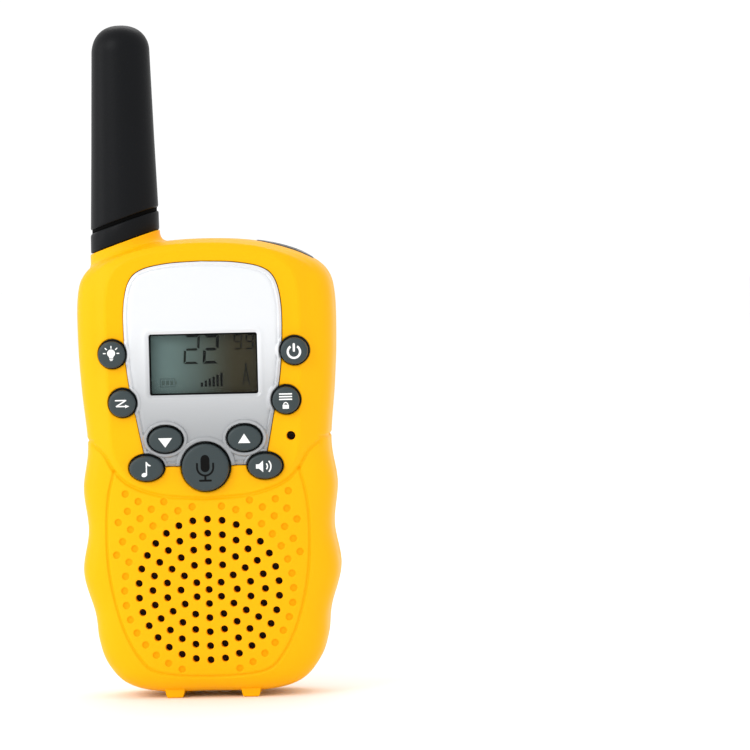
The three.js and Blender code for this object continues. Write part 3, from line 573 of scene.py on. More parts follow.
def on_ring(k, i):
    """Place i of the 6 k on ring k of the speaker's pattern, counted from the top."""
    a = math.pi / 2 + i * math.pi / (3 * k)
    return k * PITCH * math.cos(a), SPEAKER_Z + k * PITCH * math.sin(a)


SOUND_HOLES = [(0.0, SPEAKER_Z)] + [on_ring(k, i) for k in range(1, 6) for i in range(6 * k)]
# Blind dimples carry the rings on towards the panel's corners: ring number and which of its places are used.
DIMPLE_ARCS = {6: [i for i in range(36) if i not in (0, 17, 18, 19)], 7: range(3, 9), 8: range(5, 8), 9: [6]}
DIMPLES = [on_ring(k, s * i) for k, places in DIMPLE_ARCS.items() for i in places
           for s in ((1,) if k == 6 else (1, -1))]
DIMPLE_R = 0.80
dimple_tree = tree_of(DIMPLES)

HOLES = [(x, z, HOLE_R, HOLE_R, 20, 0.16) for x, z in SOUND_HOLES] + [(*MIC[:2], MIC[2], MIC[2], 28, 0.2)]
HOLES += [(x, z, a + CLEAR, b + CLEAR, 72, 0.3) for x, z, a, b in BUTTONS.values()]


def hole_distance(points):
    """Distance to the nearest hole's edge, and that hole's edge radius."""
    best = np.full(len(points), 99.0)
    radius = np.full(len(points), 0.1)
    for x, z, a, b, _, r in HOLES:
        d = past_oval(points, x, z, a, b)
        best, radius = np.where(d < best, (d, np.full(len(d), r)), (best, radius))
    return best, radius


PLATE_HOLE = plate_loop(0.16)
near_plate_edge = near(PLATE_HOLE, True)


def face_y(points):
    """The front shell's outer surface."""
    d = np.where(inside(points, PLATEAU), 0.0, near_plateau(points))
    y = smooth_low(shell_y(points, FRONT), PLATEAU_Y + 0.02 + 0.55 * d**1.25, 0.42)
    for depth, half_w, far in ((0.46, 0.60, near_grip(points)), (0.40, 0.5, near_panel(points))):
        y = y + depth * np.cos(np.clip(far / half_w, 0, 1) * math.pi / 2) ** 2
    y = y + 0.36 * (1 - step(to_nearest(dimple_tree, points), DIMPLE_R - 0.24, DIMPLE_R + 0.07))
    d, r = hole_distance(points)
    return y + lip(np.maximum(d, 0), r) + lip(near_plate_edge(points), 0.18)


FACE_INSET = 2.0
GRIP_END = GRIP_HALF[-1][1]
EVEN = {"top": 1, "low": 1}  # drawn in as much above and below as at the sides


def edge_points():
    """The case outline, with closer points where the grip groove runs off its edge."""
    loop, dense = respaced(OUTLINE, 0.75, True), respaced(OUTLINE, 0.12, True)
    far, close = np.abs(loop[:, 1] - GRIP_END) >= 0.9, np.abs(dense[:, 1] - GRIP_END) < 0.9
    loop = np.vstack([loop[far], dense[close]])
    return loop[np.argsort(np.arctan2(loop[:, 1] - MID_Z, loop[:, 0]))]


def wall_rings(side, reach, n=15, groove=0.30):
    """Rings from the parting plane round to the inset reach, evenly spaced along the curve."""
    loop = edge_points()
    t = reach * np.linspace(0, 1, 400) ** 3
    run = run_along(np.column_stack([t, side["depth"] * crown(t, side)]))
    cut = groove * np.cos(np.clip((loop[:, 1] - GRIP_END) / 0.6, -1, 1) * math.pi / 2) ** 2
    rings = []
    for inset in np.interp(np.linspace(0, run[-1], n), run, t):
        xz = scaled(loop, inset, side)
        xz[:, 0] -= np.sign(xz[:, 0]) * cut
        rings.append(at_depth(xz, SPLIT_Y + side["dir"] * side["depth"] * crown(inset, side)))
    rings[0][:, 1] += side["dir"] * (PARTING + 0.16)
    plane = SPLIT_Y + side["dir"] * PARTING
    return [at_depth(scaled(loop, inset, EVEN), plane) for inset in (1.8, 0.10)] + rings


def front_shell():
    rings = wall_rings(FRONT, FACE_INSET)
    border = rings[-1][:, [0, 2]]
    rings[-1][:, 1] = face_y(border)
    near_border = near(border, True)
    grid = grid_in(27, 1, 98.1, 0.8, 0.12)
    extra = [along(GRIP_LINE, both_sides(0.12, 0.24, 0.38, 0.52, 0.64, 0.85), 0.4)]
    for line in (PANEL_RIGHT, PANEL_LEFT):
        extra.append(along(line, both_sides(0.1, 0.2, 0.32, 0.42, 0.52, 0.7), 0.4))
    extra.append(along(PLATEAU, (0, 0.3, 0.6, 0.95, 1.3, 1.7, -0.3, -0.6, -1), 0.55, True))
    rounds = ((0.3, 8), (0.5, 14), (0.59, 18), (0.68, 20), (0.78, 20), (0.88, 20), (1.04, 16))
    extra += [ring_points(x, z, r, r, n) for x, z in DIMPLES for r, n in rounds]
    extra += [ring_points(x, z, a + d, b + d, n) for x, z, a, b, n, _ in HOLES
              for d in (0.04, 0.09, 0.16, 0.24, 0.34, 0.5)]
    extra += [respaced(plate_loop(0.16 + d), 0.3, True) for d in (0.05, 0.1, 0.17, 0.25, 0.4)]
    extra = np.vstack(extra + [grid])
    face = sheet([border, PLATE_HOLE] + [ring_points(*h[:5]) for h in HOLES], extra[inside(extra, border)],
                 lambda c: inside(c, border) & ~inside(c, PLATE_HOLE) & (hole_distance(c)[0] > 0),
                 face_y, wall=-13.9, skip=lambda mids: near_border(mids) < 0.07)
    return merged([bands(rings), face])


def opened(verts, faces):
    """A shell's faces without those over the torch, whose rim hides the edge that is left."""
    c, s = math.cos(TORCH_TILT), math.sin(TORCH_TILT)
    from_axis = verts - [TORCH_X, SPLIT_Y, TORCH_Z]
    on_row = from_axis[:, 0] * c - from_axis[:, 2] * s
    out = from_axis[:, 0] * s + from_axis[:, 2] * c
    over = (np.hypot(on_row, from_axis[:, 1]) < TORCH_OPENING) & (out > -6)
    return verts, [f for f in faces if not over[list(f)].any()]


def neck_surface(x, y):
    """Height of the case's top under a point, from the crowned shell."""
    side = FRONT if y < SPLIT_Y else REAR
    xz = scaled(OUTLINE[OUTLINE[:, 1] > 60], inset_for(y, side), side)
    order = np.argsort(xz[:, 0])
    return float(np.interp(x, xz[order, 0], xz[order, 1]))


def neck_half(front):
    """Half of the antenna's neck, with a fillet that spreads onto the case."""
    start, shift = (math.pi, -PARTING) if front else (0, PARTING)
    s = np.linspace(0, 1, 14)[:, None]
    columns = []
    for k in np.linspace(start, start + math.pi, 61):
        nx, ny = math.cos(k), math.sin(k) * ANT_FLAT
        x, y = ANT_X + NECK_A * nx, ANT_Y + NECK_A * ny
        nx, ny = nx / math.hypot(nx, ny), ny / math.hypot(nx, ny)
        top, foot = NECK_TOP + SLANT * (x - ANT_X), neck_surface(x, y)
        r = min(1.8 + 0.8 * nx, max(top - foot - 0.3, 0.25))
        ox, oy = x + r * nx, y + r * ny
        rim = [(x * 0.9 + ANT_X * 0.1, y * 0.9 + ANT_Y * 0.1, top - 0.02),
               (x - 0.15 * nx, y - 0.15 * ny, top - 0.02), (x, y, top - 0.17)]
        a, b = np.array([(x, y, min(foot + r * 1.1, top - 0.2)), (x, y, foot)])
        c = np.array([ox, oy, neck_surface(ox, oy) - 0.06])
        columns.append(np.vstack([rim, (1 - s) ** 2 * a + 2 * s * (1 - s) * b + s * s * c]))
    return bands(list(np.array(columns).transpose(1, 0, 2) + [0, shift, 0]), closed=False)


def feet(front):
    """Half of the two feet: short blocks with slanted sides and rounded ends."""
    parts = []
    y0, y1 = (-12.5, SPLIT_Y - PARTING) if front else (SPLIT_Y + PARTING, 6.5)
    for side in (-1, 1):
        rings = []
        for z, half, pull in ((2.6, 2.3, 0), (0.35, 1.75, 0.05), (0.1, 1.6, 0.14), (0.0, 1.42, 0.32)):
            a, b = (y0 + pull, y1) if front else (y0, y1 - pull)
            x = side * 8.15
            rings.append(np.array([(x - half, a, z), (x + half, a, z), (x + half, b, z), (x - half, b, z)]))
        parts.append(bands(rings, close_last=True))
    return merged(parts)


front_parts = opened(*merged([front_shell(), neck_half(True), feet(True)]))
shell = made("front_shell", front_parts, "moulded_yellow", ["front_housing"], sharp=50)
# Faces on the dimples' floors take the deeper orange: painted shade.
shell.data.materials.append(LOOKS["dimple_painted_shade_yellow"])
for face in shell.data.polygons:
    x, y, z = face.center / MM
    if y < -15 and dimple_tree.find((x, z, 0))[2] < DIMPLE_R - 0.06:
        face.material_index = 1

# ---- Silver plate ----
WINDOW_LOOP = rounded_rect(WINDOW_Z, WINDOW_W, WINDOW_H, 0.5)
near_window = near(WINDOW_LOOP, True)
near_plate_rim = near(plate_loop(0), True)
RIMS = {"down": (0.50, 0.85), "up": (0.50, 0.85), "talk": (0.40, 1.05)}  # height, width
RIMS.update({name: (0.26, 0.6) for name in ("melody", "monitor")})
RIMS.update({name: (0.28, 0.7) for name in ("lamp", "power", "scan", "menu")})


def button_distance(points, name):
    x, z, a, b = BUTTONS[name]
    return past_oval(points, x, z, a + CLEAR, b + CLEAR)


def plate_y(points):
    """The plate's front: a chamfered border, a bevel down to the window, and raised rims round the buttons."""
    y = np.full(len(points), PLATE_FRONT_Y)
    y -= 0.10 * (1 - ((points[:, 1] - 72) / 24) ** 2)
    rise = np.zeros(len(points))
    for name, (height, width) in RIMS.items():
        d = button_distance(points, name)
        ring = step(d, 0.0, 0.16) * (1 - step(d, width * 0.72, width + 0.18))
        dip = 0.10 * np.exp(-(((d - width - 0.42) / 0.22) ** 2))
        rise = np.where(height * ring > rise, height * ring, rise) - dip * (rise < 0.02)
    y = y - rise
    rim = near_plate_rim(points)
    plain = 1 - 0.85 * np.clip(rise / 0.3, 0, 1)
    y = y + 0.46 * (1 - step(rim, 0.0, 0.55)) * (1 - 0.35 * np.clip(rise / 0.3, 0, 1))
    y = y + 0.24 * np.exp(-(((rim - 0.86) / 0.18) ** 2)) * plain
    d = near_window(points)
    return y + 0.30 * (1 - step(d, 0.0, 0.55)) - 0.12 * np.exp(-(((d - 0.85) / 0.3) ** 2))


def plate_sheet():
    outer = plate_loop(0)
    loops = [respaced(outer, 0.45, True), WINDOW_LOOP]
    border_steps = (0.1, 0.22, 0.35, 0.48, 0.58, 0.68, 0.78, 0.88, 0.98, 1.08, 1.2)
    extra = [respaced(plate_loop(-g), 0.4, True) for g in border_steps]
    for name, (x, z, a, b) in BUTTONS.items():
        n = 96 if name == "talk" else 72
        loops.append(ring_points(x, z, a + CLEAR, b + CLEAR, n))
        for d in (0.05, 0.1, 0.16, 0.3, 0.5, 0.75, 0.87, 1.0, 1.12, 1.3):
            grow = CLEAR + d * RIMS[name][1]
            extra.append(ring_points(x, z, a + grow, b + grow, n))
    for g in (0.08, 0.16, 0.26, 0.38, 0.55, 0.75, 0.95, 1.2):
        extra.append(respaced(rounded_rect(WINDOW_Z, WINDOW_W + 2 * g, WINDOW_H + 2 * g, 0.5 + g), 0.5, True))
    extra = np.vstack(extra + [grid_in(17, 50, 93.3, 0.7)])

    def keep(c):
        clear_of_buttons = np.all([button_distance(c, name) > 0 for name in BUTTONS], axis=0)
        return inside(c, outer) & ~inside(c, WINDOW_LOOP) & clear_of_buttons

    return sheet(loops, extra[inside(extra, outer)], keep, plate_y, wall=-15.62)


# The plate's colour holds a painted reflection, lighter towards the top.
made("plate", plate_sheet(), "silver_paint_painted_reflection", ["face_plate"], sharp=38)


# ---- Buttons and their signs ----
def cap_profile(a, top):
    """(share of the radius, y) of a cap with a soft crown, a rounded shoulder and a flange."""
    r = 0.62
    points = [(0.0, top), (0.3, top + 0.012), (0.55, top + 0.035), (0.78 * (1 - r / a) + 0.12, top + 0.06)]
    for k in np.linspace(0, math.pi / 2, 9):
        points.append((1 - r / a + r / a * math.sin(k), top + 0.09 + 0.8 * r * (1 - math.cos(k))))
    low = (a + 0.4) / a
    return points + [(1.0, -13.75), (low, -13.75), (low, -12.95), (0.0, -12.95)]


def strokes(w, *paths):
    """Lines of width w with round ends, as polygons, one for each stretch of each path."""
    out = []
    for path in paths:
        for (x0, z0), (x1, z1) in zip(path, path[1:]):
            a = math.atan2(z1 - z0, x1 - x0)
            arc = [a + math.pi / 2 + math.pi * i / 8 for i in range(9)]
            out.append([(x0 + w / 2 * math.cos(k), z0 + w / 2 * math.sin(k)) for k in arc]
                       + [(x1 - w / 2 * math.cos(k), z1 - w / 2 * math.sin(k)) for k in arc])
    return out


def arc(cx, cz, r, w, a0, a1, n=28):
    """A band of width w along an arc of radius r, in degrees."""
    u = np.radians(np.linspace(a0, a1, n + 1))
    outer, inner = [[(cx + q * math.cos(k), cz + q * math.sin(k)) for k in u] for q in (r + w / 2, r - w / 2)]
    return [outer + inner[::-1]]


def disc(cx, cz, r, n=28, squash=1.0, tilt=0.0):
    c, s = math.cos(math.radians(tilt)), math.sin(math.radians(tilt))
    return [[(cx + x * c - z * s, cz + x * s + z * c) for x, z in ring_points(0, 0, r, squash * r, n)]]


def box2(x0, x1, z0, z1):
    return [[(x0, z0), (x1, z0), (x1, z1), (x0, z1)]]


SIGNS = {
    # A bulb with its cap and rays.
    "lamp": disc(0, 0.35, 0.92) + [[(-0.55, -0.3), (0.55, -0.3), (0.42, -0.75), (-0.42, -0.75)]]
    + box2(-0.42, 0.42, -1.08, -0.86) + box2(-0.3, 0.3, -1.36, -1.18)
    + strokes(0.26, [(0, 1.58), (0, 1.98)], *([(s * a, b), (s * c, d)] for a, b, c, d in (
        (1.05, 1.25, 1.36, 1.54), (1.36, 0.35, 1.78, 0.35)) for s in (-1, 1))),
    "power": arc(0, -0.18, 1.42, 0.50, 122, 418) + strokes(0.52, [(0, 0.05), (0, 1.55)]),
    "scan": strokes(0.30, [(-1.45, 0.75), (0.95, 0.75), (-1.3, -0.62), (0.9, -0.62)])
    + [[(0.75, -1.02), (1.72, -0.62), (0.75, -0.22)]],
    # Three bars over a padlock.
    "menu": box2(-1.5, 1.5, 1.30, 1.62) + box2(-1.5, 1.5, 0.68, 1.00) + box2(-1.5, 1.5, 0.06, 0.38)
    + box2(-0.72, 0.72, -1.95, -1.02) + arc(0, -0.98, 0.46, 0.24, 0, 180, 14),
    "down": [[(-1.62, 0.45), (1.62, 0.45), (0.0, -1.72)]],
    "up": [[(-1.42, -1.05), (1.42, -1.05), (0.0, 1.12)]],
    "melody": disc(-0.42, -1.42, 0.66, squash=0.72, tilt=18) + strokes(0.28, [(0.08, -1.3), (0.08, 1.45)])
    + [[(-0.04, 1.62), (0.22, 1.5), (0.62, 1.0), (1.12, 0.78), (1.02, 0.55), (0.5, 0.62), (0.2, 0.9)]],
    # A loudspeaker with two waves.
    "monitor": [[(-2.0, -0.5), (-1.3, -0.5), (-0.35, -1.35), (-0.35, 1.35), (-1.3, 0.5), (-2.0, 0.5)]]
    + arc(-0.35, 0, 1.0, 0.30, -42, 42, 14) + arc(-0.35, 0, 1.8, 0.32, -44, 44, 16),
    # A microphone on its stand.
    "talk": [[(-0.95, 0.0), (0.95, 0.0), (0.95, 1.7), (0.88, 2.1), (0.66, 2.45), (0.35, 2.65), (0, 2.72),
              (-0.35, 2.65), (-0.66, 2.45), (-0.88, 2.1), (-0.95, 1.7)]] + disc(0, 0.0, 0.95)
    + arc(0, 0.05, 1.72, 0.40, 180, 360, 24)
    + strokes(0.40, [(-1.72, 0.05), (-1.72, 0.85)], [(1.72, 0.05), (1.72, 0.85)])
    + strokes(0.42, [(0, -1.75), (0, -2.7)], [(-1.15, -2.75), (1.15, -2.75)]),
}


def printed(polygons, at, surface, thick=0.02):
    """Flat signs laid on a surface: thin prisms from behind it to a little in front of it."""
    parts = []
    for loop in polygons:
        pts = np.array(loop) + at
        if np.sum(pts[:, 0] * np.roll(pts[:, 1], -1) - np.roll(pts[:, 0], -1) * pts[:, 1]) < 0:
            pts = pts[::-1]
        m = len(pts)
        got = delaunay_2d_cdt([Vector(p) for p in pts], [(i, (i + 1) % m) for i in range(m)], [], 1, 1e-5)
        flat = np.array([tuple(v) for v in got[0]])
        front = at_depth(flat, surface(flat) - thick), [tuple(f) for f in got[2]]
        side = bands([at_depth(pts, surface(pts) + lift) for lift in (-thick, thick)])
        parts += [front, side]
    return merged(parts)


for name, (x, z, a, b) in BUTTONS.items():
    z -= CAP_SAG
    a, b = a - CAP_LESS, b - CAP_LESS
    top, n, size, ink = (TALK_Y, 96, 1.0, "print_black") if name == "talk" else (CAP_Y, 72, 0.92, "print_white")
    cap = lathe_y(cap_profile(a, top), x, z, a, b, n)
    button = f"{name}_button"
    made(f"{name}_cap", cap, "slate_caps", [button], button, sharp=50)

    def on_cap(points, x=x, z=z, a=a, b=b, top=top):
        k = np.hypot((points[:, 0] - x) / a, (points[:, 1] - z) / b)
        return top + 0.09 * k**2

    sign = [[(u * size, w * size) for u, w in loop] for loop in SIGNS[name]]
    made(f"{name}_sign", printed(sign, (x, z), on_cap), ink, body=button, sharp=30)

# ---- Display ----
# The panel's face carries the painted reflection, darker towards the right.
made("display_panel", prism(rounded_rect(WINDOW_Z, 25.6, 15.8, 0.4), -14.0, -12.45, 0.1), "display_face_painted_reflection",
     ["lcd_panel"], sharp=30)

LEFT, UPPER = -WINDOW_W / 2, WINDOW_Z + WINDOW_H / 2
LCD_Y = -14.03


def seven(x0, z1, w, h, t, lit, lean=0.06):
    """A seven-segment figure: top left corner, width, height, bar width, and which bars are lit."""
    g = 0.12
    half = h / 2
    top = [(g, 0), (w - g, 0), (w - g - t, -t), (g + t, -t)]
    side = [(0, -g), (t, -g - t), (t, -half + g + t / 2), (0, -half + g)]
    middle = [(g + t / 2, -half), (g + t, -half + t / 2), (w - g - t, -half + t / 2), (w - g - t / 2, -half),
              (w - g - t, -half - t / 2), (g + t, -half - t / 2)]

    def below(bar):
        return [(x, -h - z) for x, z in bar]

    def opposite(bar):
        return [(w - x, z) for x, z in bar]

    bars = {"a": top, "d": below(top), "g": middle, "f": side, "e": below(side), "b": opposite(side),
            "c": opposite(below(side))}
    return [[(x0 + x + lean * (h + z), z1 + z) for x, z in bars[k]] for k in lit]


def on_lcd(points):
    return np.full(len(points), LCD_Y)


TWO, NINE = "abged", "abcdfg"
FIGURES_Z = UPPER - 0.35
bold = seven(LEFT + 11.2, FIGURES_Z, 3.3, 6.2, 0.62, TWO)
for x in (17.8, 20.3):
    bold += seven(LEFT + x, FIGURES_Z, 1.8, 3.3, 0.34, NINE)
for i in range(6):
    x = LEFT + 10.7 + 0.84 * i
    bold += box2(x, x + 0.5, UPPER - 11.4, UPPER - 10.5 + 0.40 * i)
mast = LEFT + 20.4  # a small transmitter mast: two legs, rungs and a ball on top
soft = seven(LEFT + 7.1, FIGURES_Z, 3.3, 6.2, 0.5, TWO)
soft += strokes(0.24, *([(mast + s * 0.72, UPPER - 11.2), (mast, UPPER - 7.3)] for s in (-1, 1)))
soft += strokes(0.2, *([(mast - w, UPPER - z), (mast + w, UPPER - z)] for w, z in ((0.5, 10.2), (0.35, 9.2))))
soft += disc(mast, UPPER - 6.9, 0.3, 14)
x0, x1, z0, z1 = LEFT + 2.1, LEFT + 5.2, UPPER - 11.3, UPPER - 9.6  # a small battery
faint = strokes(0.16, [(x0, z0), (x1, z0)], [(x0, z1), (x1, z1)], [(x0, z0), (x0, z1)], [(x1, z0), (x1, z1)])
faint += box2(x1 + 0.1, x1 + 0.4, UPPER - 10.8, UPPER - 10.1)
for i in range(3):
    faint += box2(x0 + 0.3 + 0.9 * i, x0 + 0.95 + 0.9 * i, z0 + 0.35, z1 - 0.35)
MARKS = {"bold": (bold, "display_segments"), "soft": (soft, "display_soft"), "faint": (faint, "display_faint")}
for kind, (marks, ink) in MARKS.items():
    made(f"display_{kind}_marks", printed(marks, (0, 0), on_lcd, 0.008), ink, sharp=30)

MIC_FELT = [(0.0, -13.97), (1.7, -13.97), (1.75, -13.93), (0.0, -13.93)]  # (radius, y)
made("microphone_felt", lathe_y(MIC_FELT, MIC[0], MIC[1], n=32), "dark_cloth", sharp=30)


def frame_strip():
    """The thin black line printed round the window."""
    outer = rounded_rect(WINDOW_Z, WINDOW_W - 0.04, WINDOW_H - 0.04, 0.48)
    inner = rounded_rect(WINDOW_Z, WINDOW_W - 0.72, WINDOW_H - 0.72, 0.25)
    rings = [at_depth(p, y) for p, y in ((outer, -15.52), (outer, -15.60), (inner, -15.60), (inner, -15.52))]
    return bands(rings + rings[:1])


made("window_border", frame_strip(), "print_black", sharp=30)


# ---- Antenna ----
def antenna_rings(shape, n):
    """Oval rings about the antenna's axis: a radius, a height over the neck, a share of its slant each."""
    u = around(n)
    return [np.column_stack([ANT_X + r * np.cos(u), ANT_Y + ANT_FLAT * r * np.sin(u),
                             NECK_TOP + h + share * SLANT * r * np.cos(u)]) for r, h, share in shape]


def sleeve_radius(h):
    return float(np.interp(NECK_TOP + h, [97, 104, 117.5, 130, 137.8], [7.42, 7.27, 6.83, 6.47, 6.24]))


def sleeve():
    """The rubber sleeve, cut on the slant at its foot and level by its round tip."""
    foot, tip, dome = 5.0, ANT_TIP - NECK_TOP, 6.0
    soft = 0.42
    r = sleeve_radius(foot) - soft
    end_r = sleeve_radius(tip - dome)
    shape = [(4.6, foot + 0.4), (6.3, foot + 0.02), (r, foot)]
    turns = np.linspace(0.3, math.pi / 2, 5)
    shape += [(r + soft * math.sin(k), foot + soft * (1 - math.cos(k))) for k in turns]
    shape += [(sleeve_radius(h), h) for h in np.linspace(foot + 1, tip - dome, 30)]
    shape += [(end_r * math.cos(k) ** 0.86, tip - dome + dome * math.sin(k) ** 0.93)
              for k in np.linspace(0.08, math.pi / 2 - 0.001, 22)]
    top = shape[-1][1]
    return bands(antenna_rings([(r, h, min(1, (top - h) / (top - foot))) for r, h in shape], 96))


made("antenna_cover", sleeve(), "antenna_rubber", ["antenna_sleeve"], sharp=60)


def collar():
    """The black collar between the neck and the sleeve, both rims on the slant."""
    low, high = 0.08, 4.3
    shape = [(5.6, low), (7.1, low), (7.3, low + 0.10), (7.4, low + 0.35), (7.36, high - 0.55),
             (7.26, high - 0.2), (7.0, high - 0.03), (6.5, high), (5.9, high), (5.6, high - 0.4)]
    rings = antenna_rings([(r, h, 1) for r, h in shape], 96)
    return bands(rings + rings[:1])


made("antenna_ring", collar(), "antenna_rubber", ["antenna_collar"], sharp=50)


def former():
    """The rod inside: a foot in the neck, the seat seen in the groove over the collar, and the coil's core."""
    return bands(antenna_rings(
        [(0, -9.0, 0), (5.1, -9.0, 0), (5.2, -8.8, 0), (5.2, 4.32, 1), (7.0, 4.32, 1), (7.0, 5.1, 1),
         (4.3, 5.1, 1), (2.6, 9.5, 0), (2.4, 10.0, 0), (2.4, 38.2, 0), (0, 38.4, 0)], 80))


# The rod's near-black seat darkens the groove over the collar: painted shade over its own dark plastic.
made("antenna_rod", former(), "antenna_former", ["antenna_former"], sharp=50)


# ---- Torch ----
def torch_frame(points):
    """Points given along, across and out of the torch, in the row's frame."""
    p = np.asarray(points, float)
    c, s = math.cos(TORCH_TILT), math.sin(TORCH_TILT)
    x, y, z = p.T
    return np.column_stack([TORCH_X + x * c + z * s, SPLIT_Y + y, TORCH_Z - x * s + z * c])


def shoulder_height(a, b):
    """How far out of the torch's plane the case lies at (along, across)."""
    lo, hi = -4.0, 3.0
    for _ in range(24):
        mid = (lo + hi) / 2
        x, y, z = torch_frame([(a, b, mid)])[0]
        lo, hi = (mid, hi) if z < neck_surface(x, y) else (lo, mid)
    return lo


def torch_rings(shape, n):
    """Rings about the torch's axis: a radius and a height over the case's surface there."""
    u, base = around(n), shoulder_height(0, 0)
    turned = [(r * np.cos(u), r * np.sin(u), np.full(n, base + h)) for r, h in shape]
    return [torch_frame(np.column_stack(ring)) for ring in turned]


def torch_bezel():
    """The oval rim: its outer part follows the shoulder, its middle is turned."""
    rings = []
    for share, lift in ((1.0, -1.2), (1.0, -0.02), (0.985, 0.14), (0.95, 0.21), (0.88, 0.23), (0.8, 0.22)):
        oval = ring_points(0, 0, TORCH_L * share, TORCH_W * share, 80)
        rings.append(torch_frame([(a, b, shoulder_height(a, b) + lift) for a, b in oval]))
    return bands(rings + torch_rings([(3.62, 0.10), (3.42, 0.04), (3.3, -0.12), (3.25, -1.6)], 80))


TORCH_LENS = [(0, -0.08), (1.2, -0.12), (2.2, -0.22), (2.9, -0.36), (3.15, -0.5), (3.18, -1.1), (0, -1.1)]
TORCH_BOWL = [  # the reflector, and the lamp standing in it
    (3.1, -1.25), (2.7, -1.9), (2.0, -2.7), (1.2, -3.2), (1.1, -3.25), (1.1, -2.3), (0.8, -1.75), (0, -1.55),
]

made("torch_rim", torch_bezel(), "torch_black", ["torch_bezel"], sharp=50)
made("torch_window", bands(torch_rings(TORCH_LENS, 64)), "clear_lens", ["torch_lens"], sharp=50)
made("torch_reflector", bands(torch_rings(TORCH_BOWL, 48)), "lamp_and_reflector", ["torch_led"],
     sharp=50)

# ---- Rear shell and battery cover ----
(_, COVER_Y, _), (_, _, COVER_TOP) = (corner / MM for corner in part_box("battery_cover"))
LEDGE_Y = COVER_Y - 0.3
STEP_Z = COVER_TOP + 0.3
BAY_LOW, BAY_TOP, BAY_W = 12.6, 62.7, 42.5
BAY_LOOP = rounded_rect((BAY_LOW + BAY_TOP) / 2, BAY_W, BAY_TOP - BAY_LOW, 2.0)
MOUTH_LOOP = rounded_rect((BAY_LOW + BAY_TOP) / 2, BAY_W - 1.3, BAY_TOP - BAY_LOW - 0.6, 2.0)
MOUTH_Y = 7.0
BAY_FLOOR = -3.0
SCREWS_HIGH, SCREWS_LOW = [(-20.6, 84.0), (20.6, 84.0)], [(-14.0, 5.3), (14.0, 5.3)]
HEAD_R, LOW_HEAD_R = 2.4, 2.14


def near_discs(points, spots, r):
    """Distance outside the nearest of some round holes."""
    return np.min([past_oval(points, x, z, r, r) for x, z in spots], axis=0)


def rear_upper(border, rims, across):
    """The back over the cover's step, with its two screw holes."""

    def surface(p):
        from_rim = rims(p)
        y = shell_y(p, REAR) - lip(np.maximum(near_discs(p, SCREWS_HIGH, HEAD_R), 0), 0.35)
        y = y - lip(np.maximum(p[:, 1] - STEP_Z, 0), 0.3) * np.clip(from_rim / 0.8, 0, 1)
        return np.where(from_rim < 0.02, LEDGE_Y, y)

    holes = [ring_points(x, z, HEAD_R, HEAD_R, 40) for x, z in SCREWS_HIGH]
    grown = [HEAD_R + d for d in (0.06, 0.14, 0.24, 0.36, 0.6)]
    extra = [ring_points(x, z, r, r, 40) for x, z in SCREWS_HIGH for r in grown]
    line = np.column_stack([np.arange(-27, 27, 0.4), np.full(135, STEP_Z)])
    extra += [line + [0, d] for d in (0, 0.05, 0.12, 0.2, 0.3, 0.45)] + [grid_in(27, STEP_Z, 98, 0.8)]
    extra = np.vstack(extra)
    upper = sheet(
        [border, *holes, across], extra[inside(extra, border)],
        lambda c: inside(c, border) & (c[:, 1] > STEP_Z - 0.0006) & (near_discs(c, SCREWS_HIGH, HEAD_R) > 0),
        surface, wall=3.2, skip=lambda m: (rims(m) < 0.08) | (np.abs(m[:, 1] - STEP_Z) < 0.01))
    flat = upper[0][:, [0, 2]]
    brow = np.unique(np.round(flat[np.abs(flat[:, 1] - STEP_Z) < 0.002], 4), axis=0)
    riser = bands([at_depth(brow, surface(brow)), at_depth(brow, LEDGE_Y)], closed=False)
    return [upper, riser]


def rear_ledge(border, rims, across):
    """The ledge under the cover, and the bay's mouth and walls."""
    holes = [ring_points(x, z, LOW_HEAD_R, LOW_HEAD_R, 40) for x, z in SCREWS_LOW]
    brink = scaled(border, 0.45, EVEN)  # the ledge runs on unbroken outside this line
    ledge = sheet(
        [border, brink, MOUTH_LOOP, *holes, across], grid_in(27, 1, STEP_Z, 2.0),
        lambda c: inside(c, border) & (c[:, 1] < STEP_Z) & ~inside(c, MOUTH_LOOP)
        & ((near_discs(c, SCREWS_LOW, LOW_HEAD_R) > 0) | ~inside(c, brink)),
        lambda p: np.full(len(p), LEDGE_Y), wall=MOUTH_Y,
        skip=lambda m: (rims(m) < 0.08) | (m[:, 1] > STEP_Z - 0.05)
        | (near_discs(m, SCREWS_LOW, LOW_HEAD_R) < 0.1))
    walls = [at_depth(MOUTH_LOOP, MOUTH_Y), at_depth(BAY_LOOP, MOUTH_Y), at_depth(BAY_LOOP, BAY_FLOOR)]
    return [ledge, bands(walls, close_last=True)]


def bay_ribs():
    """Saddles between the cells: cut out to the cells' round sides, three to a row."""
    right = [(5.3 - 5.35 * math.cos(k), 2.4 - 5.35 * math.sin(k)) for k in np.linspace(0.72, 1.1, 6)]
    right.append((2.6, BAY_FLOOR))
    saddle = np.array([(-x, y) for x, y in reversed(right)] + right)
    ribs = []
    for x in (-10.6, 0.0, 10.6):
        for z in (21.8, 37.3, 52.8):
            faces = [np.column_stack([saddle + [x, 0], np.full(len(saddle), z + d)]) for d in (-0.6, 0.6)]
            ribs.append(bands(faces, True, True))
    return ribs


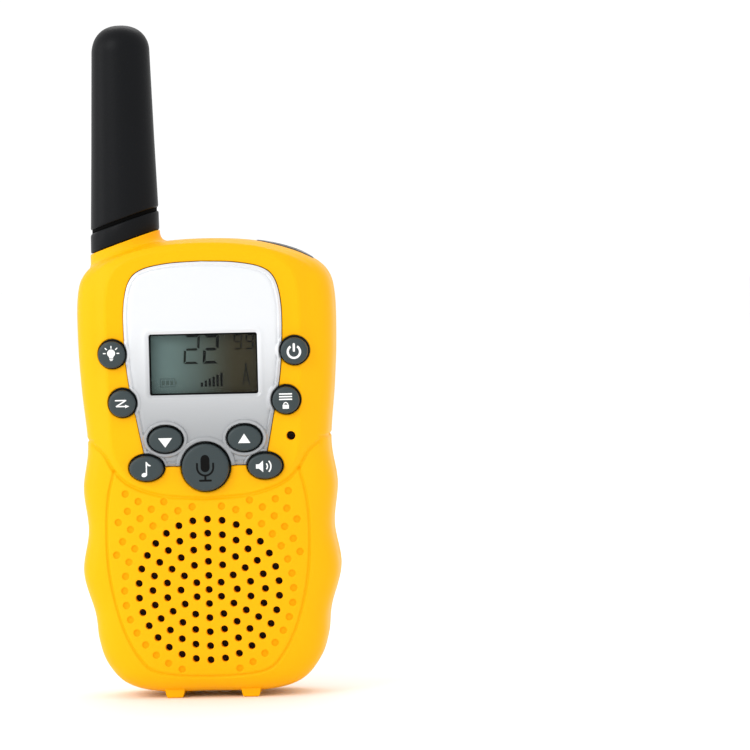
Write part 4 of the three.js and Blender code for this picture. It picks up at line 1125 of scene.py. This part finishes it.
def rear_shell():
    rings = wall_rings(REAR, inset_for(LEDGE_Y, REAR))
    border = rings[-1][:, [0, 2]]
    rims = near(border, True)
    across = np.array([(-26.0, STEP_Z), (26.0, STEP_Z), (26.0, STEP_Z - 0.001), (-26.0, STEP_Z - 0.001)])
    parts = [bands(rings)] + rear_upper(border, rims, across) + rear_ledge(border, rims, across)
    parts += [neck_half(False), feet(False)]
    wells = ((SCREWS_HIGH, HEAD_R + 0.02, 3.2, 3.7), (SCREWS_LOW, LOW_HEAD_R, 6.0, MOUTH_Y - 0.1))
    for spots, r, y, top in wells:
        parts += [lathe_y([(r, top), (r, y), (1.2, y), (1.2, y - 2)], x, z, n=40) for x, z in spots]
    return opened(*merged(parts + bay_ribs()))


made("rear_shell", rear_shell(), "moulded_yellow", ["rear_housing"], sharp=50)


def cover():
    reach = inset_for(COVER_Y, REAR)
    border = scaled(respaced(OUTLINE, 0.6, True), reach, REAR)
    border = border[border[:, 1] < COVER_TOP]
    half = float(np.abs(border[np.argsort(-border[:, 1])[:2], 0]).min())
    border = np.vstack([border, [(half, COVER_TOP), (-half, COVER_TOP)]])
    border = border[np.argsort(np.arctan2(border[:, 1] - 30, border[:, 0]))]
    edge = near(border, True)
    arrow = np.array([(-2.0, 19.4), (2.0, 19.4), (0.0, 16.4)])
    arrow_edge = near(arrow, True)

    def surface(p):
        """The shell's curve with a rounded edge, a shallow seam, a ribbed thumb dish and an arrow."""
        d = edge(p)
        k = np.hypot(p[:, 0] / 6, (p[:, 1] - 9) / 3.4)
        dish = 0.5 * (1 - step(k, 0.80, 1.0))
        ribs = 0.26 * (0.5 + 0.5 * np.cos(2 * math.pi * (p[:, 1] - 9) / 1.3)) ** 2 * (1 - step(k, 0.66, 0.86))
        mark = 0.22 * step(np.where(inside(p, arrow), arrow_edge(p), -1), 0.0, 0.18)
        seam = 0.16 * np.exp(-(((d - 1.9) / 0.22) ** 2))
        return np.maximum(shell_y(p, REAR) - lip(d, 0.35) - dish + ribs - mark - seam, COVER_Y + 0.05)

    extra = [ring_points(0, 9, 6 * k, 3.4 * k, 90) for k in (0.8, 0.85, 0.9, 0.95, 1.0, 1.04)]
    extra.append(lattice(np.arange(-6, 6, 0.3), np.arange(5.8, 12.4, 0.16)))
    for s in (0.7, 0.8, 0.88, 0.94, 0.99):
        extra.append(respaced(arrow * s + np.array([0, 18.4]) * (1 - s), 0.15, True))
    inner = border - [0, 30]
    for g in (0.08, 0.18, 0.28, 0.4, 0.7, 1.45, 1.65, 1.78, 1.9, 2.02, 2.15, 2.35):
        scale = 1 - g / np.maximum(np.abs(inner).max(axis=0), 1)
        extra.append(respaced(inner * scale + [0, 30], 0.4, True))
    extra = np.vstack(extra + [grid_in(26, 2, COVER_TOP, 0.9)])
    extra = extra[inside(extra, border) & (edge(extra) > 0.04)]
    face = sheet([border], extra, lambda c: inside(c, border), surface, wall=COVER_Y)
    rear = sheet([border], np.empty((0, 2)), lambda c: inside(c, border), lambda p: np.full(len(p), COVER_Y))
    return merged([face, rear])


made("bay_cover", cover(), "moulded_yellow_cover", ["battery_cover"], "battery_cover", sharp=45)


# ---- Cells and springs ----
def helix(x, y, z0, z1, r0, r1, turns, wire, per=28, sides=10):
    """A coil about a vertical line: a swept round wire."""
    t = np.linspace(0, 1, int(turns * per) + 1)
    a = t * turns * 2 * math.pi
    r = r0 + (r1 - r0) * t
    path = np.column_stack([x + r * np.cos(a), y + r * np.sin(a), z0 + (z1 - z0) * t])
    way = np.gradient(path, axis=0)
    way /= np.linalg.norm(way, axis=1)[:, None]
    level = np.cross(way, [0.0, 0.0, 1.0])
    level /= np.linalg.norm(level, axis=1)[:, None]
    steep = np.cross(way, level)
    rings = [p + wire * (np.cos(around(sides))[:, None] * a + np.sin(around(sides))[:, None] * b)
             for p, a, b in zip(path, level, steep)]
    return bands(rings, close_first=True, close_last=True)


for i in (1, 2, 3, 4):
    lo, hi = [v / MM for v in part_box(f"battery_cell_{i}")]
    x, y = (lo[0] + hi[0]) / 2, (lo[1] + hi[1]) / 2
    up = i % 2 == 1
    tall = hi[2] - lo[2]
    half = [(0, 0), (4.3, 0), (4.6, 0.12), (4.62, 0.3), (4.95, 0.34), (5.15, 0.5), (5.2, 0.8), (5.2, 5),
            (5.2, 31.5), (5.2, tall - 1.6), (5.1, tall - 1.25), (4.7, tall - 1.05), (4.2, tall - 1.0), (4.1, tall - 0.9),
            (1.9, tall - 0.86), (1.85, tall - 0.25), (1.6, tall - 0.04), (0, tall)]
    shape = [(r, lo[2] + z if up else hi[2] - z) for r, z in half]
    cell = f"battery_cell_{i}"
    body = made(f"cell_{i}", lathe_z(shape, x, y, n=56), "cell_sleeve", [cell], sharp=40)
    for look in ("cell_band", "nickel"):
        body.data.materials.append(LOOKS[look])
    for face in body.data.polygons:
        z = face.center.z / MM
        along_cell = z - lo[2] if up else hi[2] - z
        radius = math.hypot(face.center.x / MM - x, face.center.y / MM - y)
        face.material_index = 2 if radius < 4.5 else (1 if 31.5 < along_cell else 0)
    lo, hi = [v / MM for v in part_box(f"contact_spring_{i}")]
    ends = (lo[2] + 0.3, hi[2] - 0.3) if up else (hi[2] - 0.3, lo[2] + 0.3)
    made(f"bay_spring_{i}", helix(x, y, *ends, 3.4, 2.2, 3.5, 0.3), "nickel",
         [f"contact_spring_{i}"], sharp=60)

# ---- Belt clip ----
CLIP_LINE = [(15.6, 95.5), (17.1, 90), (17.45, 82), (17.45, 70), (17, 60), (14.8, 54), (12, 51.4), (11.3, 49.6),
             (12.6, 47.2)]
CLIP_HALF, CLIP_T = 9.0, 2.0
HINGE_Y, HINGE_Z = 12.9, 86.0


def clip_lever():
    """A strip along the clip's middle line with rounded ends and edges, grip ribs and a stiffening rib."""
    mid = respaced(spline(CLIP_LINE, False, 20), 0.28)
    way = np.gradient(mid, axis=0)
    way /= np.linalg.norm(way, axis=1)[:, None]
    out = np.column_stack([-way[:, 1], way[:, 0]])  # towards +Y, away from the case
    run = run_along(mid)
    corner, soft_end, soft_side = 3.2, 0.8, 0.7
    q = np.linspace(-1, 1, 37)
    rings = []
    for p, o, s in zip(mid, out, run):
        end = min(s, run[-1] - s)
        x = q * (CLIP_HALF - corner + math.sqrt(max(corner**2 - max(corner - end, 0) ** 2, 0)))
        t = CLIP_T / 2 * math.sqrt(max(1 - (max(soft_end - end, 0) / soft_end) ** 2, 0.02))
        edge = x[-1] - np.abs(x)
        half = t * np.sqrt(np.maximum(1 - (np.maximum(soft_side - edge, 0) / soft_side) ** 2, 0))
        grip = 0.32 * (0.5 + 0.5 * math.cos(2 * math.pi * (s - 1.9) / 1.5)) if 1.4 < s < 9.0 else 0.0
        ramp = min(1.0, max(0.0, (s - 12) / 1.5), max(0.0, (40 - s) / 1.5))
        rib = 0.225 * step(np.abs(edge - 2.2), 0.8, 0.3) * ramp
        front = half - grip * np.clip((edge - 0.8) / 0.8, 0, 1) - rib
        across, height = np.concatenate([x, x[::-1]]), np.concatenate([front, -half[::-1]])
        rings.append(np.column_stack([across, p + height[:, None] * o]))
    return bands(rings, close_first=True, close_last=True)


def lug(x0, x1, root_y, r=2.0, hole=0.95):
    """A hinge lug: a rounded tongue from the lever to the pin, its edges softened, with the pin's hole."""
    a = np.linspace(-math.pi / 2, math.pi / 2, 25)
    centre = np.array([HINGE_Y, HINGE_Z])
    nose = centre + r * np.column_stack([-np.cos(a), np.sin(a)])
    pts = np.vstack([(root_y, HINGE_Z - r - 0.6), nose, (root_y, HINGE_Z + r + 0.6)])
    angles = np.arctan2(pts[:, 1] - centre[1], pts[:, 0] - centre[0])
    ring = centre + hole * np.column_stack([np.cos(angles), np.sin(angles)])
    soft = pts + (centre - pts) * 0.06
    rings = [np.column_stack([np.full(len(pts), x), loop]) for loop, x in (
        (ring, x0), (soft, x0), (pts, x0 + 0.15), (pts, x1 - 0.15), (soft, x1), (ring, x1))]
    return bands(rings + rings[:1])


LEVER = merged([clip_lever(), lug(6.1, 7.6, 16.6), lug(-7.6, -6.1, 16.6)])
made("clip_lever", LEVER, "clip_black", ["belt_clip"], "belt_clip", sharp=40)

# The edges of some CAD pieces that stay are eased.
EASED = {0.18: ["clip_bracket"], 0.25: ["radio_shield"], 0.12: ["controller_chip"], 0.06: CARRIED["nickel"],
         0.1: ["main_board", "clip_pin"]}  # mm
for ease, kept in EASED.items():
    for node in kept:
        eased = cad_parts[node].modifiers.new("eased", "BEVEL")
        eased.width, eased.segments = ease * MM, 2
        eased.limit_method, eased.angle_limit = "ANGLE", math.radians(50)


# ---- Stage and light ----
def stage_and_light():
    floor = bpy.data.meshes.new("floor")
    half = 6.0
    corners = [(x * half, y * half, 0) for x, y in ((-1, -1), (1, -1), (1, 1), (-1, 1))]
    floor.from_pydata(corners, [], [(0, 1, 2, 3)])
    ground = bpy.data.objects.new("floor", floor)
    bpy.context.collection.objects.link(ground)
    floor.materials.append(finish_of("pale_floor", (0.97, 0.97, 0.97), 0.8, 0.003, 30, 0, specular=0.1))

    world = bpy.data.worlds.new("studio")
    bpy.context.scene.world = world
    world.use_nodes = True
    world.node_tree.nodes["Background"].inputs["Color"].default_value = (1, 1, 1, 1)
    world.node_tree.nodes["Background"].inputs["Strength"].default_value = 1.05

    def lamp(name, at, size, power):
        data = bpy.data.lights.new(name, "AREA")
        data.shape = "RECTANGLE"
        data.size, data.size_y = size
        data.energy = power
        light = bpy.data.objects.new(name, data)
        light.location = at
        light.rotation_mode = "QUATERNION"
        light.rotation_quaternion = (Vector((0, 0, 0.07)) - Vector(at)).to_track_quat("-Z", "Y")
        bpy.context.collection.objects.link(light)

    lamp("key", (-0.60, -0.80, 0.60), (0.5, 0.5), 3.2)
    lamp("strip", (-0.9, -0.22, 0.22), (0.25, 0.8), 1.4)
    lamp("back", (0.0, 0.7, 0.9), (0.8, 0.4), 2.2)


stage_and_light()
bpy.context.scene.view_settings.view_transform = "Standard"
